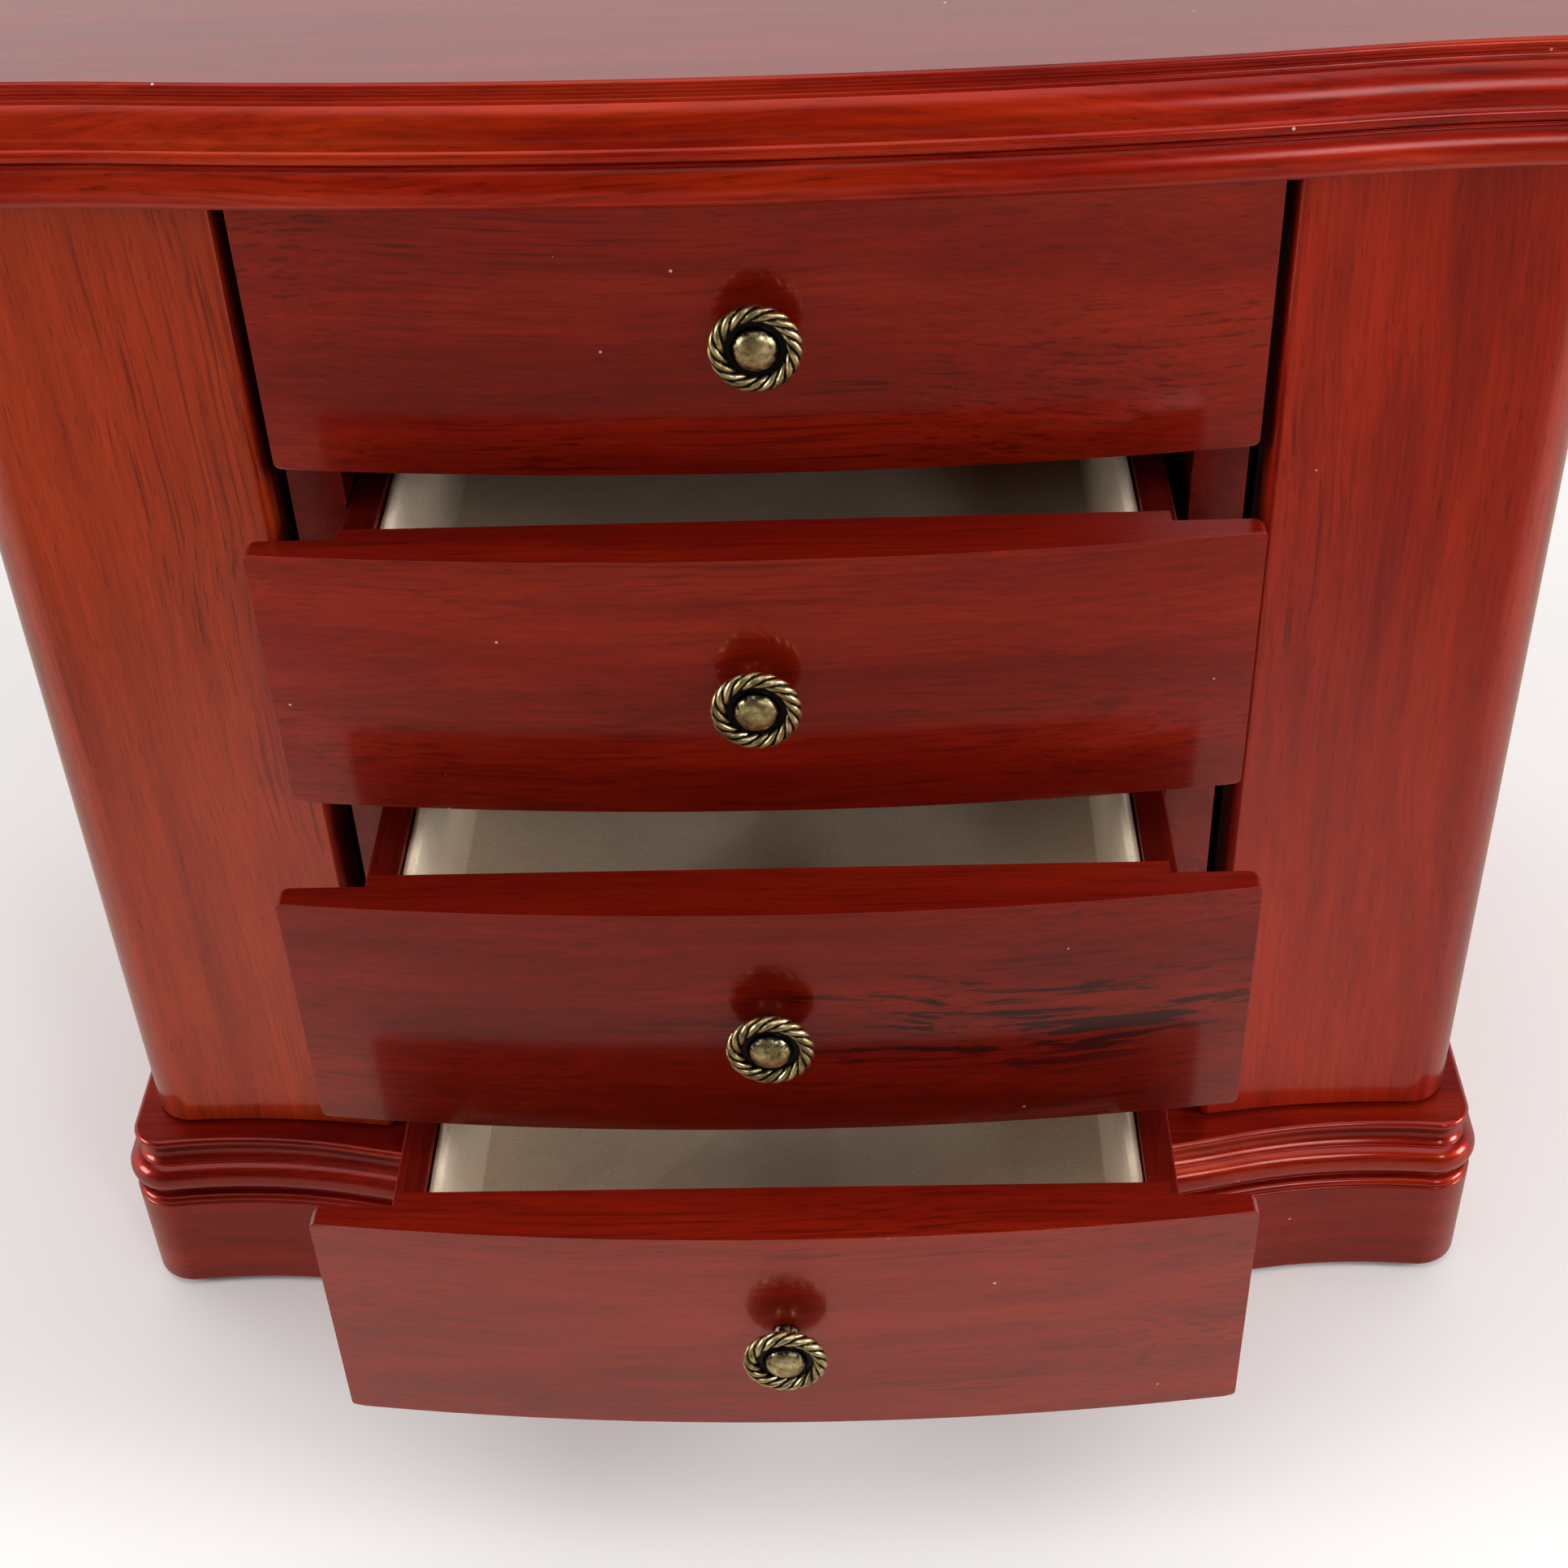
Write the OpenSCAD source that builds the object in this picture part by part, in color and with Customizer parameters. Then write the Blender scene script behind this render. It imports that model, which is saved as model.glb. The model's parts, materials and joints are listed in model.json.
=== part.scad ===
// Jewellery chest: four bow-fronted drawers between two swing-out necklace doors,
// under a hinged moulded lid with a lined ring tray, on a moulded base.
// Millimetres. +Z is up, the drawers open towards -Y, and the origin is the middle
// of the underside.

/* [Body] */
// Half of the width over the two side doors
body_half_w = 158; // [150:1:170]
// Depth from the closed drawer fronts' ends to the back of the back panel
body_d = 198; // [180:1:230]
// Distance from the origin forward to the closed drawer fronts' ends
front_set = 89; // [80:1:100]
// How far the body's serpentine front swells out between its two dips
body_bow = 9.3; // [6:0.1:12]
// Radius of the body's rounded front corners
body_corner = 10; // [6:0.5:12]

/* [Base] */
// Thickness of the felt under the base
felt_t = 1.5; // [1:0.5:3]
// Height of the plinth
plinth_h = 29; // [22:1:40]
// Height of the moulded base board
base_h = 19.5; // [19.5:0.5:23]
// Half of the base's width
base_half_w = 166; // [164:1:176]
// How far the base stands in front of the body at the dips
base_front = 9.5; // [6:0.5:14]
// How far the base's front swells out between its dips
base_bow = 15; // [9:0.5:17]

/* [Drawers] */
// Height of a drawer front
front_h = 59.4; // [50:0.1:60]
// Distance from one drawer to the next
drawer_pitch = 61.87; // [60.5:0.01:64]
// Half of a drawer front's width
front_half_w = 95; // [90:0.5:95]
// Thickness of a drawer front at its ends
front_end_t = 4.6; // [4:0.1:6]
// Extra thickness of a drawer front between the drawer's sides
front_step = 3.3; // [2:0.1:4]
// Half of the drawer box's width
box_half_w = 81.3; // [76:0.1:81.5]
// Thickness of a drawer's sides and back
box_t = 6.5; // [5:0.1:8]
// How far drawer 1, the top one, is drawn out
drawer_1_pull = 0; // [0:0.1:110]
// How far drawer 2 is drawn out
drawer_2_pull = 26.3; // [0:0.1:110]
// How far drawer 3 is drawn out
drawer_3_pull = 54.5; // [0:0.1:110]
// How far drawer 4, the bottom one, is drawn out
drawer_4_pull = 81.6; // [0:0.1:110]

/* [Knobs] */
// Outer radius of the knob's rope ring
knob_r = 8.7; // [7:0.1:10]
// Distance of the ring from the drawer front
knob_out = 7.1; // [6:0.1:9]

/* [Doors] */
// Gap between a door and the drawer fronts beside it
door_gap = 2.65; // [2.4:0.05:3.5]
// Thickness of a door's side panel
panel_t = 8; // [6:0.5:9]

/* [Lid] */
// Height of the fixed top frame
frame_h = 7.8; // [7.8:0.1:9]
// Height of the lid board
lid_h = 12.5; // [12.5:0.1:15]
// Half of the lid's width
lid_half_w = 168; // [162:1:176]
// How far the lid stands in front of the body at the dips
lid_front = 16.7; // [10:0.1:18]
// How far the lid's front swells out between its dips
lid_bow = 7.1; // [6:0.1:12]

/* [Hidden] */

cherry = [0.45, 0.12, 0.08];
dark_cherry = [0.33, 0.08, 0.07];
inner_wood = [0.24, 0.06, 0.06];
ivory = [0.86, 0.84, 0.78];
brass = [0.62, 0.52, 0.32];
steel = [0.7, 0.7, 0.72];

// planes across the depth
fy = -front_set;                    // closed drawer fronts' ends
back_y = fy + body_d;               // rear face of the back panel and doors
back_t = 8;
back_in_y = back_y - back_t;
rear_over = 2;
rear_y = back_y + rear_over;        // rear faces of the base, top frame and lid
board_r = 11;                       // plan radius of the base's and lid's front corners
dip_x = 138;                        // where each serpentine front is furthest back
turn_x = 105.6;                     // where it turns from convex to concave
body_dip_y = fy + 3.5;

// levels
plinth_inset = 0.6;                 // plinth's face behind the board's widest line
plinth_t = 15.4;
plinth_z = felt_t;
base_z = plinth_z + plinth_h;
deck_z = base_z + base_h;           // top of the base board
low_gap = 1.5;                      // under the lowest drawer front
top_gap = 1.4;                      // over the highest
drawer_z = [for (i = [0:3]) deck_z + low_gap + (3 - i) * drawer_pitch];
frame_z = drawer_z[0] + front_h + top_gap;
tray_floor_t = 3;
tray_drop = 8.4;                    // tray's underside below the top frame's
tray_z = frame_z - tray_drop;
seam = 0.3;                         // lid to frame
lid_z = frame_z + frame_h + seam;
lid_top = lid_z + lid_h;

// drawers
pull = [drawer_1_pull, drawer_2_pull, drawer_3_pull, drawer_4_pull];
shift = [0.1, -1.8, -1.1, 0];       // each drawer's own play to one side
front_r = turn_x * dip_x / (2 * body_bow);
front_sag = front_r - sqrt(front_r * front_r - front_half_w * front_half_w);
front_back = front_end_t + front_step;
box_z = 3.5;                        // box above the front's lower edge
box_h = 46.7;
box_end = 183;                      // rear of the box behind the front's ends
box_lap = 3.3;                      // front's step over the thickness of the box's sides
floor_t = 3;
lining_t = 2.2;
lining_floor_t = 1.5;
lining_drop = 0.8;                  // lining's rim below the box's
lining_play = 0.4;
knob_z = front_h / 2 + 0.7;
screw_r = 1.55;
screw_in = 5;                       // how far the screw reaches into the knob
head_r = 3.2;
head_t = 1.8;
head_sink = 2;                      // depth of the counterbore for the head

// doors
stile_in_x = front_half_w + door_gap;
stile_back_y = fy + 14.5;
panel_in_x = body_half_w - panel_t;
door_play = [1, 1.2];               // under and over a door
door_z = deck_z + door_play[0];
door_top = frame_z - door_play[1];
door_h = door_top - door_z;
cloth_t = 1.2;

// partitions and tray
part_play = 2.2;                    // drawer box to partition
part_t = 11;
part_in_x = box_half_w + part_play;
part_out_x = part_in_x + part_t;
part_front_y = fy + 5.6;
tray_half_w = panel_in_x - 3;
tray_front_y = fy + 16;
tray_wall = 4;
divider_x = 46;
half_div = 1.5;                     // half of a divider's thickness

// hinges
leaf_t = 0.8;
leaf_gap = 0.4;                     // leaf's edge to the knuckles
hole_r = 1;
knuckle_r = 1.9;
pin_r = 0.8;
pin_play = 0.05;
hinge_len = 24;
knuckle_gap = 0.2;
pin_off = 2;                        // pin axis behind the mounting face
door_hinge_z = [deck_z + 45, frame_z - 45];
lid_hinge_x = [-100, 100];
lid_pin_z = lid_z - seam / 2;

// ---- shared shapes -------------------------------------------------------------

// Serpentine front: 0 at the dips, -bow in the middle, two tangent curves
function wave(x, bow) =
    let (ax = abs(x), slope = 2 * bow / dip_x,
        r_mid = turn_x / slope, r_dip = (dip_x - turn_x) / slope)
    ax < turn_x ? ax * ax / (2 * r_mid) - bow : -pow(dip_x - ax, 2) / (2 * r_dip);

// Plan outline with a serpentine front, round front corners and square rear corners
function outline(half_w, dip_y, bow, rear, r, front_n = 36, corner_n = 6) =
    let (cx = half_w - r, cy = dip_y + wave(cx, bow) + r)
    concat(
        [for (i = [0:front_n]) let (x = -cx + 2 * cx * i / front_n) [x, dip_y + wave(x, bow)]],
        [for (i = [1:corner_n]) let (a = -90 + 90 * i / corner_n)
            [cx + r * cos(a), cy + r * sin(a)]],
        [[half_w, rear], [-half_w, rear]],
        [for (i = [0:corner_n - 1]) let (a = 180 + 90 * i / corner_n)
            [-cx + r * cos(a), cy + r * sin(a)]]);

// Arc of a moulding's profile, as [inset, height]: 0 degrees faces out, 90 up
function turned(inset, z, r, from, to, n = 5) =
    [for (i = [0:n]) let (a = from + (to - from) * i / n) [inset - r * cos(a), z + r * sin(a)]];

// Board with a serpentine outline whose front and side edges follow a profile
module moulded_board(half_w, dip_y, bow, r, profile) {
    rings = [for (p = profile)
        [for (q = outline(half_w - p[0], dip_y + p[0], bow, rear_y, r - p[0]))
            [q[0], q[1], p[1]]]];
    n = len(rings[0]);
    last = len(profile) - 1;
    polyhedron(
        points = [for (ring = rings) each ring],
        faces = concat(
            [[for (j = [0:n - 1]) j]],
            [for (k = [0:last - 1], j = [0:n - 1])
                [k * n + j, (k + 1) * n + j, (k + 1) * n + (j + 1) % n, k * n + (j + 1) % n]],
            [[for (j = [0:n - 1]) last * n + n - 1 - j]]));
}

// Box from one corner to the other
module block(low, high) {
    translate(low) cube(high - low);
}

// The same box on both sides of the middle plane
module block_pair(low, high) {
    block(low, high);
    mirror([1, 0, 0]) block(low, high);
}

// ---- base ----------------------------------------------------------------------

module base_plan(inset) {
    polygon(outline(base_half_w - inset, body_dip_y - base_front + inset, base_bow,
        rear_y - inset, board_r - inset / 2));
}

module felt_base() {
    felt_inset = 4;
    color("dimgray") linear_extrude(felt_t) base_plan(felt_inset);
}

module base_plinth() {
    color(dark_cherry) translate([0, 0, plinth_z]) linear_extrude(plinth_h) difference() {
        base_plan(plinth_inset);
        base_plan(plinth_inset + plinth_t);
    }
}

module bottom_panel() {
    panel_h = 3;
    play = 0.2;
    color(inner_wood) translate([0, 0, plinth_z]) linear_extrude(panel_h)
        base_plan(plinth_inset + plinth_t + play);
}

// Quarter round and fillet at the foot, a bead, a cove, then a rounded arris
module base_board() {
    profile = concat(
        [[1.4, base_z]],
        turned(2.3, base_z + 0.5, 1.7, 5, 70, 3),
        [[3, base_z + 2.3]],
        turned(4.4, base_z + 7.6, 4.2, -70, 78, 8),
        turned(2.2, base_z + 14.6, 2.8, 235, 125, 4),
        turned(4.4, deck_z - 1.2, 1.2, -40, 90, 4));
    color(cherry)
        moulded_board(base_half_w, body_dip_y - base_front, base_bow, board_r, profile);
}

// ---- carcass -------------------------------------------------------------------

module back_panel() {
    play = 0.4;
    half_w = panel_in_x - play;
    color(cherry) block([-half_w, back_in_y, deck_z], [half_w, back_y, frame_z]);
}

module partition() {
    block([part_in_x, part_front_y, deck_z], [part_out_x, back_in_y, tray_z]);
}

module right_partition() {
    color(inner_wood) partition();
}

module left_partition() {
    color(inner_wood) mirror([1, 0, 0]) partition();
}

// Strips that the drawer sides slide on
module drawer_runners() {
    runner_w = 7.5;
    runner_h = 4.7;
    front_y = fy + 9;
    play = 0.3;
    color(inner_wood) for (z = drawer_z)
        block_pair([part_in_x - runner_w, front_y, z + box_z - play - runner_h],
            [part_in_x, back_in_y, z + box_z - play]);
}

// Moulding band under the lid, open in the middle for the tray
module top_frame() {
    profile = concat(
        turned(2.4, frame_z + 2.4, 2.4, -90, 0, 4),
        turned(6, frame_z + 2.7, 6, 4, 50, 5),
        [[2.3, frame_z + frame_h]]);
    color(cherry) difference() {
        moulded_board(lid_half_w, body_dip_y - lid_front, lid_bow, board_r, profile);
        block([-tray_half_w, tray_front_y, frame_z - 1],
            [tray_half_w, back_in_y, frame_z + frame_h + 1]);
    }
}

module ring_tray() {
    color(inner_wood) difference() {
        block([-tray_half_w, tray_front_y, tray_z], [tray_half_w, back_in_y, frame_z + frame_h]);
        block([-tray_half_w + tray_wall, tray_front_y + tray_wall, tray_z + tray_floor_t],
            [tray_half_w - tray_wall, back_in_y - tray_wall, lid_top]);
    }
}

// Floor, border and dividers of cloth-covered card, which leave four wells
module tray_lining() {
    play = 0.1;
    x = tray_half_w - tray_wall;
    low = tray_front_y + tray_wall;
    high = back_in_y - tray_wall;
    mid = (low + high) / 2;
    floor_z = tray_z + tray_floor_t;
    z0 = floor_z + cloth_t + play;
    z1 = frame_z + frame_h - 1;
    in_x = x - cloth_t - play;
    in_low = low + cloth_t + play;
    in_high = high - cloth_t - play;
    color(ivory) {
        block([-x, low, floor_z], [x, high, floor_z + cloth_t]);
        block([-x, low, z0], [x, low + cloth_t, z1]);
        block([-x, high - cloth_t, z0], [x, high, z1]);
        block_pair([in_x + play, in_low, z0], [x, in_high, z1]);
        block_pair([divider_x - half_div, in_low, z0], [divider_x + half_div, in_high, z1]);
        block([divider_x + half_div + play, mid - half_div, z0], [in_x, mid + half_div, z1]);
    }
}

// Padded rolls side by side, which grip rings between them
module ring_rolls() {
    roll_n = 14;
    play = 0.3;
    x0 = -tray_half_w + tray_wall + cloth_t + play;
    x1 = -divider_x - half_div - play;
    low = tray_front_y + tray_wall + cloth_t;
    high = back_in_y - tray_wall - cloth_t;
    step = (high - low) / roll_n;
    r = (step - play) / 2;
    foot = 0.8 * r;                 // half of the flat that a roll rests on
    color(ivory) for (i = [0:roll_n - 1])
        translate([x0, low + step * (i + 0.5), tray_z + tray_floor_t + cloth_t]) {
            translate([0, 0, r]) rotate([0, 90, 0]) cylinder(r = r, h = x1 - x0, $fn = 24);
            block([0, -foot, 0], [x1 - x0, foot, r]);
        }
}

// Cloth on the outer faces of the partitions, inside the necklace bays
module bay_linings() {
    color(ivory) block_pair([part_out_x, rail_y[0], deck_z],
        [part_out_x + cloth_t, back_in_y, tray_z]);
}

// ---- necklace doors, drawn for the right-hand side -----------------------------

module door_stile() {
    cx = body_half_w - body_corner;
    cy = body_dip_y + wave(cx, body_bow) + body_corner;
    front_n = 12;
    corner_n = 8;
    translate([0, 0, door_z]) linear_extrude(door_h) polygon(concat(
        [for (i = [0:front_n]) let (x = stile_in_x + (cx - stile_in_x) * i / front_n)
            [x, body_dip_y + wave(x, body_bow)]],
        [for (i = [1:corner_n]) let (a = -90 + 90 * i / corner_n)
            [cx + body_corner * cos(a), cy + body_corner * sin(a)]],
        [[body_half_w, stile_back_y], [stile_in_x, stile_back_y]]));
}

module door_panel() {
    block([panel_in_x, stile_back_y, door_z], [body_half_w, back_y, door_top]);
}

rail_t = 6.5;
rail_h = 13;
rail_x = panel_in_x - rail_t;
rail_y = [fy + 28, fy + 180];
rail_z = tray_z - 21;

module door_lining() {
    front_margin = 3;
    rear_margin = 4;
    low_margin = 2;
    top_margin = 1;
    block([panel_in_x - cloth_t, stile_back_y + front_margin, door_z + low_margin],
        [panel_in_x, back_in_y - rear_margin, rail_z - top_margin]);
}

module necklace_rail() {
    block([rail_x, rail_y[0], rail_z], [panel_in_x, rail_y[1], rail_z + rail_h]);
}

// Upturned hooks with a flange at the rail and a ball at the tip
module necklace_hooks() {
    hook_n = 6;
    hook_pitch = 25.2;
    end_margin = 13;
    hook_z = 5;                     // above the rail's lower edge
    wire_r = 0.9;
    flange_r = 2;
    flange_t = 1;
    ball_r = 1.4;
    reach = 9;
    rise = 4.5;
    for (i = [0:hook_n - 1])
        translate([rail_x, rail_y[0] + end_margin + i * hook_pitch, rail_z + hook_z]) {
            rotate([0, -90, 0]) cylinder(r = flange_r, h = flange_t, $fn = 24);
            rotate([0, -90, 0]) cylinder(r = wire_r, h = reach, $fn = 24);
            translate([-reach, 0, 0]) sphere(r = wire_r, $fn = 24);
            translate([-reach, 0, 0]) cylinder(r = wire_r, h = rise, $fn = 24);
            translate([-reach, 0, rise]) sphere(r = ball_r, $fn = 24);
        }
}

// Pocket that catches the chains' ends, open at the top
module door_pouch() {
    wall = 1.6;
    deep = 13;
    high = 49;
    x0 = panel_in_x - cloth_t - deep;
    z0 = door_z + 3;
    difference() {
        block([x0, rail_y[0], z0], [panel_in_x - cloth_t, rail_y[1], z0 + high]);
        block([x0 + wall, rail_y[0] + wall, z0 + wall],
            [panel_in_x, rail_y[1] - wall, z0 + high + 1]);
    }
}

// catch: a cased magnet on each partition, a steel plate on each stile
magnet_size = [8, 8.6, 12];
plate_size = [7, 1, 10];
catch_gap = 0.4;
magnet_z = tray_z - 26;

module strike_plate() {
    low = [stile_in_x + 1, stile_back_y, magnet_z + (magnet_size[2] - plate_size[2]) / 2];
    block(low, low + plate_size);
}

module door_magnets() {
    low = [part_out_x, stile_back_y + plate_size[1] + catch_gap, magnet_z];
    color("dimgray") block_pair(low, low + magnet_size);
}

// ---- hinges --------------------------------------------------------------------
// Pin along Z at the origin, mounting faces in the plane y = -pin_off

module knuckle(z0, z1) {
    translate([0, 0, z0]) cylinder(r = knuckle_r, h = z1 - z0, $fn = 32);
}

third = hinge_len / 6;

module hinge_leaf_plate(w) {
    block([knuckle_r + leaf_gap, -pin_off, -hinge_len / 2], [w, -pin_off + leaf_t, hinge_len / 2]);
}

// Joins a knuckle to its leaf, which it overlaps a little
module hinge_tab(z0, z1) {
    overlap = 0.1;
    block([0, -pin_off, z0], [knuckle_r + leaf_gap + overlap, -pin_off + leaf_t, z1]);
}

module hinge_bore() {
    translate([0, 0, -hinge_len]) cylinder(r = pin_r + pin_play, h = 2 * hinge_len, $fn = 32);
}

// Screw holes through a leaf
module leaf_holes(x, half_gap) {
    for (z = [-half_gap, half_gap]) translate([x, -pin_off + leaf_t + 1, z])
        rotate([90, 0, 0]) cylinder(r = hole_r, h = leaf_t + 2, $fn = 24);
}

// Leaf with the two outer knuckles, reaching towards -X
module fixed_leaf(w, hole) {
    difference() {
        union() {
            mirror([1, 0, 0]) hinge_leaf_plate(w);
            for (s = [-1, 1]) {
                z0 = s > 0 ? third + knuckle_gap / 2 : -hinge_len / 2;
                z1 = s > 0 ? hinge_len / 2 : -third - knuckle_gap / 2;
                mirror([1, 0, 0]) hinge_tab(z0, z1);
                knuckle(z0, z1);
            }
        }
        hinge_bore();
        leaf_holes(-hole[0], hole[1]);
    }
}

// Leaf with the middle knuckle, reaching towards +X
module moving_leaf(w, hole) {
    difference() {
        union() {
            hinge_leaf_plate(w);
            hinge_tab(-third + knuckle_gap / 2, third - knuckle_gap / 2);
            knuckle(-third + knuckle_gap / 2, third - knuckle_gap / 2);
        }
        hinge_bore();
        leaf_holes(hole[0], hole[1]);
    }
}

// Pin with a flat cap at each end
module hinge_pin() {
    cap_r = 1.4;
    cap_t = 0.8;
    play = 0.1;
    translate([0, 0, -hinge_len / 2 - cap_t]) cylinder(r = pin_r, h = hinge_len + 2 * cap_t, $fn = 32);
    for (s = [0, 1]) mirror([0, 0, s])
        translate([0, 0, hinge_len / 2 + play]) cylinder(r = cap_r, h = cap_t, $fn = 32);
}

// Two wood screws through a leaf: side -1 is the fixed leaf, 1 the moving one
module leaf_screws(side, hole) {
    top_r = 1.8;
    top_t = 0.6;
    shank_r = 0.9;
    shank_l = 7;
    for (z = [-hole[1], hole[1]]) translate([side * hole[0], -pin_off + leaf_t, z]) rotate([-90, 0, 0]) {
        cylinder(r = top_r, h = top_t, $fn = 24);
        translate([0, 0, -shank_l]) cylinder(r = shank_r, h = shank_l + 0.1, $fn = 24);
    }
}

module at_right_door_hinges() {
    for (z = door_hinge_z) translate([panel_in_x, back_y + pin_off, z]) children();
}

module at_left_door_hinges() {
    mirror([1, 0, 0]) at_right_door_hinges() children();
}

module at_lid_hinges() {
    for (x = lid_hinge_x) translate([x, rear_y + pin_off, lid_pin_z]) rotate([0, -90, 0]) children();
}

door_leaf_w = [13, 7.2];            // on the back panel, on the door's edge
lid_leaf_w = [7.4, 10.5];           // on the top frame, on the lid
// each leaf's screws: distance from the pin, half of the distance between the two
back_hole = [8.5, 7];
edge_hole = [4.9, 8];
frame_hole = [5, 8];
lid_hole = [7.2, 8];

module fixed_hinge_leaves() {
    color(brass) {
        at_right_door_hinges() fixed_leaf(door_leaf_w[0], back_hole);
        at_left_door_hinges() fixed_leaf(door_leaf_w[0], back_hole);
        at_lid_hinges() fixed_leaf(lid_leaf_w[0], frame_hole);
    }
}

module hinge_pins() {
    color(brass) {
        at_right_door_hinges() hinge_pin();
        at_left_door_hinges() hinge_pin();
        at_lid_hinges() hinge_pin();
    }
}

module fixed_hinge_screws() {
    color(brass) {
        at_right_door_hinges() leaf_screws(-1, back_hole);
        at_left_door_hinges() leaf_screws(-1, back_hole);
        at_lid_hinges() leaf_screws(-1, frame_hole);
    }
}

module right_hinge_leaves() {
    color(brass) at_right_door_hinges() moving_leaf(door_leaf_w[1], edge_hole);
}

module left_hinge_leaves() {
    color(brass) at_left_door_hinges() moving_leaf(door_leaf_w[1], edge_hole);
}

module right_hinge_screws() {
    color(brass) at_right_door_hinges() leaf_screws(1, edge_hole);
}

module left_hinge_screws() {
    color(brass) at_left_door_hinges() leaf_screws(1, edge_hole);
}

module lid_hinge_leaves() {
    color(brass) at_lid_hinges() moving_leaf(lid_leaf_w[1], lid_hole);
}

module lid_hinge_screws() {
    color(brass) at_lid_hinges() leaf_screws(1, lid_hole);
}

// ---- doors in place ------------------------------------------------------------

module right_door_stile() { color(cherry) door_stile(); }
module right_door_panel() { color(cherry) door_panel(); }
module right_door_lining() { color(ivory) door_lining(); }
module right_necklace_rail() { color(inner_wood) necklace_rail(); }
module right_necklace_hooks() { color(brass) necklace_hooks(); }
module right_door_pouch() { color(ivory) door_pouch(); }
module right_strike_plate() { color(steel) strike_plate(); }
module left_door_stile() { color(cherry) mirror([1, 0, 0]) door_stile(); }
module left_door_panel() { color(cherry) mirror([1, 0, 0]) door_panel(); }
module left_door_lining() { color(ivory) mirror([1, 0, 0]) door_lining(); }
module left_necklace_rail() { color(inner_wood) mirror([1, 0, 0]) necklace_rail(); }
module left_necklace_hooks() { color(brass) mirror([1, 0, 0]) necklace_hooks(); }
module left_door_pouch() { color(ivory) mirror([1, 0, 0]) door_pouch(); }
module left_strike_plate() { color(steel) mirror([1, 0, 0]) strike_plate(); }

// ---- lid -----------------------------------------------------------------------

mirror_half_w = 118;
mirror_y = [fy + 22, fy + 168];
mirror_t = 2;
lid_pocket = 3;                     // depth of the recess in the lid's underside
lid_margin = 10;                    // cloth around the mirror

// Bead, broad ovolo, fillet, cove and a thin nose under the flat top
module lid_board() {
    profile = concat(
        turned(2.3, lid_z + 1.4, 1.4, -90, 65, 6),
        turned(10, lid_z + 3, 8, 5, 52, 6),
        [[5.9, lid_top - 3.1]],
        turned(5.7, lid_top - 2.3, 1, 230, 150, 3),
        turned(7.5, lid_top - 1, 1, -30, 90, 4));
    color(cherry) difference() {
        moulded_board(lid_half_w, body_dip_y - lid_front, lid_bow, board_r, profile);
        block([-mirror_half_w - lid_margin, mirror_y[0] - lid_margin, lid_z - 1],
            [mirror_half_w + lid_margin, mirror_y[1] + lid_margin, lid_z + lid_pocket]);
    }
}

module lid_lining() {
    set_back = 0.4;                 // cloth's face above the lid's underside
    color(ivory) difference() {
        block([-mirror_half_w - lid_margin, mirror_y[0] - lid_margin, lid_z + set_back],
            [mirror_half_w + lid_margin, mirror_y[1] + lid_margin, lid_z + lid_pocket]);
        block([-mirror_half_w, mirror_y[0], lid_z - 1],
            [mirror_half_w, mirror_y[1], lid_z + lid_pocket + 1]);
    }
}

module lid_mirror() {
    play = 0.1;
    color("lightsteelblue") block(
        [-mirror_half_w + play, mirror_y[0] + play, lid_z + lid_pocket - mirror_t],
        [mirror_half_w - play, mirror_y[1] - play, lid_z + lid_pocket]);
}

// ---- drawers, i = 0 for the top one --------------------------------------------

module at_drawer(i) {
    translate([shift[i], fy - pull[i], drawer_z[i]]) children();
}

// Bowed front with end rebates, bored and counterbored for the knob's screw
module drawer_front(i) {
    bore_play = 0.15;
    head_play = 0.2;
    color(dark_cherry) at_drawer(i) difference() {
        intersection() {
            block([-front_half_w, -front_sag - 1, 0], [front_half_w, front_back, front_h]);
            translate([0, front_r - front_sag, -1]) cylinder(r = front_r, h = front_h + 2, $fn = 720);
        }
        block_pair([box_half_w - box_lap, front_end_t, -1],
            [front_half_w + 1, front_back + 1, front_h + 1]);
        translate([0, front_back + 1, knob_z]) rotate([90, 0, 0]) {
            cylinder(r = screw_r + bore_play, h = front_back + front_sag + 2, $fn = 48);
            cylinder(r = head_r + head_play, h = head_sink + 1, $fn = 48);
        }
    }
}

// Sides, back and bottom in one, open where the front closes it
module drawer_box(i) {
    in_x = box_half_w - box_t;
    color(inner_wood) at_drawer(i) difference() {
        block([-box_half_w, front_end_t, box_z], [box_half_w, box_end, box_z + box_h]);
        block([-in_x, 0, box_z + floor_t], [in_x, box_end - box_t, front_h]);
        block([-box_half_w + box_lap, 0, 0], [box_half_w - box_lap, front_back, front_h]);
    }
}

// Padded cloth tray inside the box
module drawer_lining(i) {
    x = box_half_w - box_t - lining_play;
    y = [front_back + lining_play, box_end - box_t - lining_play];
    z = box_z + floor_t;
    color(ivory) at_drawer(i) difference() {
        block([-x, y[0], z], [x, y[1], box_z + box_h - lining_drop]);
        block([-x + lining_t, y[0] + lining_t, z + lining_floor_t],
            [x - lining_t, y[1] - lining_t, front_h]);
    }
}

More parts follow.
